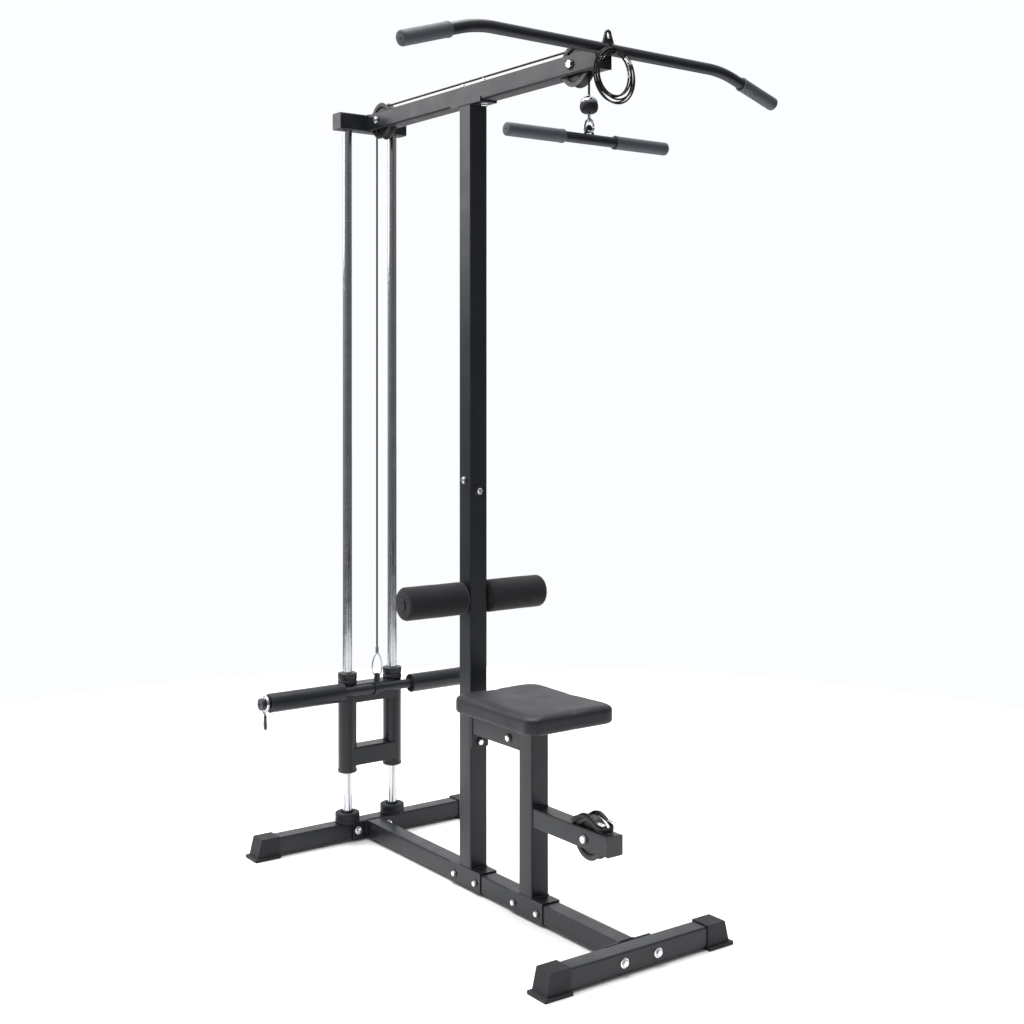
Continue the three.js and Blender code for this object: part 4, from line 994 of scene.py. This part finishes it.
def edge_point(direction, half, top, round_radius, hole_z):
    """Where a ray from the eye's centre leaves the lug: straight sides to a rounded top, flat below."""
    foot = 5.0
    centre = Vector((0, hole_z))
    arc_centre = Vector((0, top - round_radius))
    outline = [Vector((-half, foot)), Vector((half, foot))]
    for i in range(25):
        angle = math.pi * i / 24
        outline.append(arc_centre + Vector((math.cos(angle), math.sin(angle))) * round_radius)
    best = None
    for a, b in zip(outline, outline[1:] + outline[:1]):
        edge = b - a
        cross = direction.x * edge.y - direction.y * edge.x
        if abs(cross) < 1e-9:
            continue
        offset = a - centre
        reach = (offset.x * edge.y - offset.y * edge.x) / cross
        share = (offset.x * direction.y - offset.y * direction.x) / cross
        if reach > 0 and -1e-6 <= share <= 1 + 1e-6 and (best is None or reach > best):
            best = reach
    return centre + direction * best


def grip_parts(radius, length, tube_radius):
    """A rubber grip along +Z from z = 0, with a collar at its mouth and a closed end."""
    collar = radius + 0.7
    profile = [
        (tube_radius + 0.1, 0.4), (collar - 1.2, 0), (collar, 1.2), (collar, 6.5), (collar - 0.6, 8.4),
        (radius, 10),
    ]
    steps = 12
    profile += [(radius, 10 + (length - 14) * i / steps) for i in range(1, steps + 1)]
    profile += [
        (radius - 0.5, length - 2), (radius - 1.6, length - 0.7), (radius - 3, length),
        (2.4, length), (2.2, length - 2.4), (0, length - 2.4), (0, length - 4.5),
        (tube_radius + 0.1, length - 4.5),
    ]
    return lathe_open(profile)


def lathe_open(profile):
    """Revolves a profile that touches the axis, keeping it a hair away so that no points merge."""
    return lathe([(max(radius, 0.05), height) for radius, height in profile], 48)


row_place = at(0, FRONT_DROP_Y, ROW_BAR_Z)
row_tube = moved(lathe(tube_profile(9.7, 11.7, -222, 222), 48), at(0, 0, 0, "X"))
row_eye = eye_plate(17, 32, 8, 13.6, 8, 6.6, 5)
row_parts = [moved(part, row_place) for part in (row_tube, row_eye)]
piece("row_bar_body", row_parts, "powder_coat", "row_handle", ["row_bar"])
for side, sign in SIDES.items():
    mouth = at(sign * (222.3 - 150), 0, 0, outer_axis(sign))
    grip = moved(grip_parts(14.8, 154, 11.7), row_place @ mouth)
    piece(f"row_bar_grip_{side}", [grip], "grip_rubber", "row_handle", [f"row_grip_{side}"])


def lat_bar_path():
    half, run, drop, bend = 369.0, 184.0, 55.0, 45.0
    slope = drop / run
    xs = [-(half + run) + 20 * i for i in range(7)]
    xs += [-(half + bend) + 5 * i for i in range(19)]
    xs += [-260, 0, 260]
    xs += [half - bend + 5 * i for i in range(19)]
    xs += [half + run - 120 + 20 * i for i in range(7)]
    path = []
    for x in xs:
        past = abs(x) - half
        fall = 0.0
        if past >= bend:
            fall = slope * past
        elif past > -bend:
            fall = slope * (past + bend) ** 2 / (4 * bend)
        path.append((x, 0, -fall))
    return path


lat_parts = [sweep(lat_bar_path(), LAT_RADIUS, 40, up=(0, 1, 0)), eye_plate(19, 43, 9, 31, 5, 8, 6)]
piece("lat_bar_body", lat_parts, "powder_coat", "lat_handle", ["lat_bar"], LAT_MATRIX)
DROOP = math.atan2(55, 184)
for side, sign in SIDES.items():
    reach = 553 - (120 - 0.3) * math.cos(DROOP)
    fall = 55 - (120 - 0.3) * math.sin(DROOP)
    lean = Matrix.Rotation(sign * (math.pi / 2 + DROOP), 4, "Y")
    grip = moved(grip_parts(16, 124, LAT_RADIUS), Matrix.Translation((sign * reach, 0, -fall)) @ lean)
    piece(f"lat_bar_grip_{side}", [grip], "grip_rubber", "lat_handle", [f"lat_grip_{side}"], LAT_MATRIX)


# -------- seat cushion
SEAT = {"half_width": 129.0, "front": -362.3, "rear": -30.3, "bottom": 465.0, "top": 505.0}


def cushion_blank(shrink):
    """A rounded slab a little smaller than the finished cushion."""
    half_x = SEAT["half_width"] - shrink
    half_y = (SEAT["rear"] - SEAT["front"]) / 2 - shrink
    middle = (SEAT["rear"] + SEAT["front"]) / 2
    corner, edge = 35.0 - shrink, 8.0
    levels = [(0, SEAT["bottom"] + 0.5), (0, SEAT["top"] - 1.5 - edge)]
    for i in range(1, 5):
        angle = math.pi / 2 * i / 4
        levels.append((edge - edge * math.cos(angle), SEAT["top"] - 1.5 - edge + edge * math.sin(angle)))
    points, faces = [], []
    count = 48
    for inset, height in levels:
        for i in range(count):
            angle = 2 * math.pi * (i + 0.5) / count
            x, y = rounded_rectangle(angle, half_x - inset, half_y - inset, corner - inset)
            points.append((x, middle + y, height))
    for level in range(len(levels) - 1):
        for i in range(count):
            j = (i + 1) % count
            low, high = level * count, (level + 1) * count
            faces.append([low + i, low + j, high + j, high + i])
    faces.append(list(range(count))[::-1])
    faces.append([(len(levels) - 1) * count + i for i in range(count)])
    return points, faces


def rounded_rectangle(angle, half_x, half_y, corner):
    """The point of a rounded rectangle that lies furthest in a direction."""
    quarter = int(angle // (math.pi / 2)) % 4
    sign_x = 1 if quarter in (0, 3) else -1
    sign_y = 1 if quarter in (0, 1) else -1
    return (
        sign_x * (half_x - corner) + corner * math.cos(angle),
        sign_y * (half_y - corner) + corner * math.sin(angle),
    )


def inflate(cushion, cap):
    """Swells the cushion as stuffed cloth, then limits how far each point has moved."""
    remesh = cushion.modifiers.new("remesh", "REMESH")
    remesh.mode = "VOXEL"
    remesh.voxel_size = 0.005
    remesh.use_smooth_shade = True
    bake(cushion)
    rest = np.array([v.co for v in cushion.data.vertices])
    cloth = cushion.modifiers.new("cloth", "CLOTH")
    settings = cloth.settings
    settings.quality = 6
    settings.mass = 0.2
    settings.use_pressure = True
    settings.uniform_pressure_force = 4
    settings.tension_stiffness = 25
    settings.compression_stiffness = 25
    settings.bending_stiffness = 4
    settings.effector_weights.gravity = 0
    cloth.collision_settings.use_collision = False
    for step in range(1, 21):
        scene.frame_set(step)
    bake(cushion)
    scene.frame_set(1)
    moved_to = np.array([v.co for v in cushion.data.vertices])
    change = moved_to - rest
    size = np.linalg.norm(change, axis=1)
    limit = np.minimum(1.0, cap / np.maximum(size, 1e-9))
    settled = rest + change * limit[:, None]
    floor = SEAT["bottom"] * MM
    settled[:, 2] = np.maximum(settled[:, 2], floor)
    cushion.data.vertices.foreach_set("co", settled.ravel())
    cushion.data.update()


def bake(made):
    """Applies every modifier on a piece."""
    graph = bpy.context.evaluated_depsgraph_get()
    mesh = bpy.data.meshes.new_from_object(made.evaluated_get(graph))
    made.modifiers.clear()
    made.data = mesh


cushion = piece("seat_cushion", [cushion_blank(2.5)], "seat_vinyl", "frame", ["seat_pad"], sharp=80)
inflate(cushion, 0.005)
smooth = cushion.modifiers.new("subdivide", "SUBSURF")
smooth.levels = 1
smooth.render_levels = 1
bake(cushion)
cushion.data.shade_smooth()

# -------- floor and light
FLOOR_RADIUS = 2.8
rim = [(FLOOR_RADIUS * math.cos(a), FLOOR_RADIUS * math.sin(a), 0) for a in round_angles(96)]
floor_mesh = bpy.data.meshes.new("floor")
floor_mesh.from_pydata(rim, [], [list(range(len(rim)))])
floor = bpy.data.objects.new("floor", floor_mesh)
scene.collection.objects.link(floor)
floor_nodes = Nodes("floor")
floor_nodes.shader.inputs["Base Color"].default_value = (0.90, 0.90, 0.90, 1)
floor_nodes.shader.inputs["Roughness"].default_value = 0.6
floor.data.materials.append(floor_nodes.material)

world = bpy.data.worlds.new("studio")
scene.world = world
world.use_nodes = True
tree = world.node_tree
background = tree.nodes["Background"]
direction = tree.nodes.new("ShaderNodeTexCoord").outputs["Generated"]
toward = tree.nodes.new("ShaderNodeVectorMath")
toward.operation = "DOT_PRODUCT"
toward.inputs[1].default_value = (-0.06, 0.22, 0.93)
tree.links.new(direction, toward.inputs[0])
glow = tree.nodes.new("ShaderNodeMapRange")
glow.inputs["From Min"].default_value = -0.1
glow.inputs["From Max"].default_value = 0.9
glow.inputs["To Min"].default_value = 0.17
glow.inputs["To Max"].default_value = 0.92
tree.links.new(toward.outputs["Value"], glow.inputs["Value"])
seen = tree.nodes.new("ShaderNodeLightPath").outputs["Is Camera Ray"]
strength = tree.nodes.new("ShaderNodeMix")
tree.links.new(seen, strength.inputs["Factor"])
tree.links.new(glow.outputs["Result"], strength.inputs["A"])
strength.inputs["B"].default_value = 1.0
tree.links.new(strength.outputs["Result"], background.inputs["Strength"])
background.inputs["Color"].default_value = (0.97, 0.985, 1.0, 1)


def area_light(name, place, target, width, height, power):
    lamp = bpy.data.lights.new(name, "AREA")
    lamp.shape = "RECTANGLE"
    lamp.size = width
    lamp.size_y = height
    lamp.energy = power
    made = bpy.data.objects.new(name, lamp)
    made.location = place
    made.rotation_euler = (Vector(target) - Vector(place)).to_track_quat("-Z", "Y").to_euler()
    made.visible_camera = False
    scene.collection.objects.link(made)


area_light("left_softbox", (-3.0, 3.2, 3.0), (0, 0, 1.5), 3.0, 2.2, 75)
area_light("back_softbox", (2.6, 3.9, 2.0), (0, 0, 0.4), 3.2, 2.4, 15)
area_light("top_softbox", (-0.6, 0.4, 5.0), (0, 0, 0.5), 4.0, 4.0, 220)
sun = bpy.data.objects.new("sun", bpy.data.lights.new("sun", "SUN"))
sun.data.energy = 1.9
sun.data.angle = math.radians(50)
sun.rotation_euler = (math.radians(-14), math.radians(-5), 0)
scene.collection.objects.link(sun)
scene.view_settings.view_transform = "Standard"
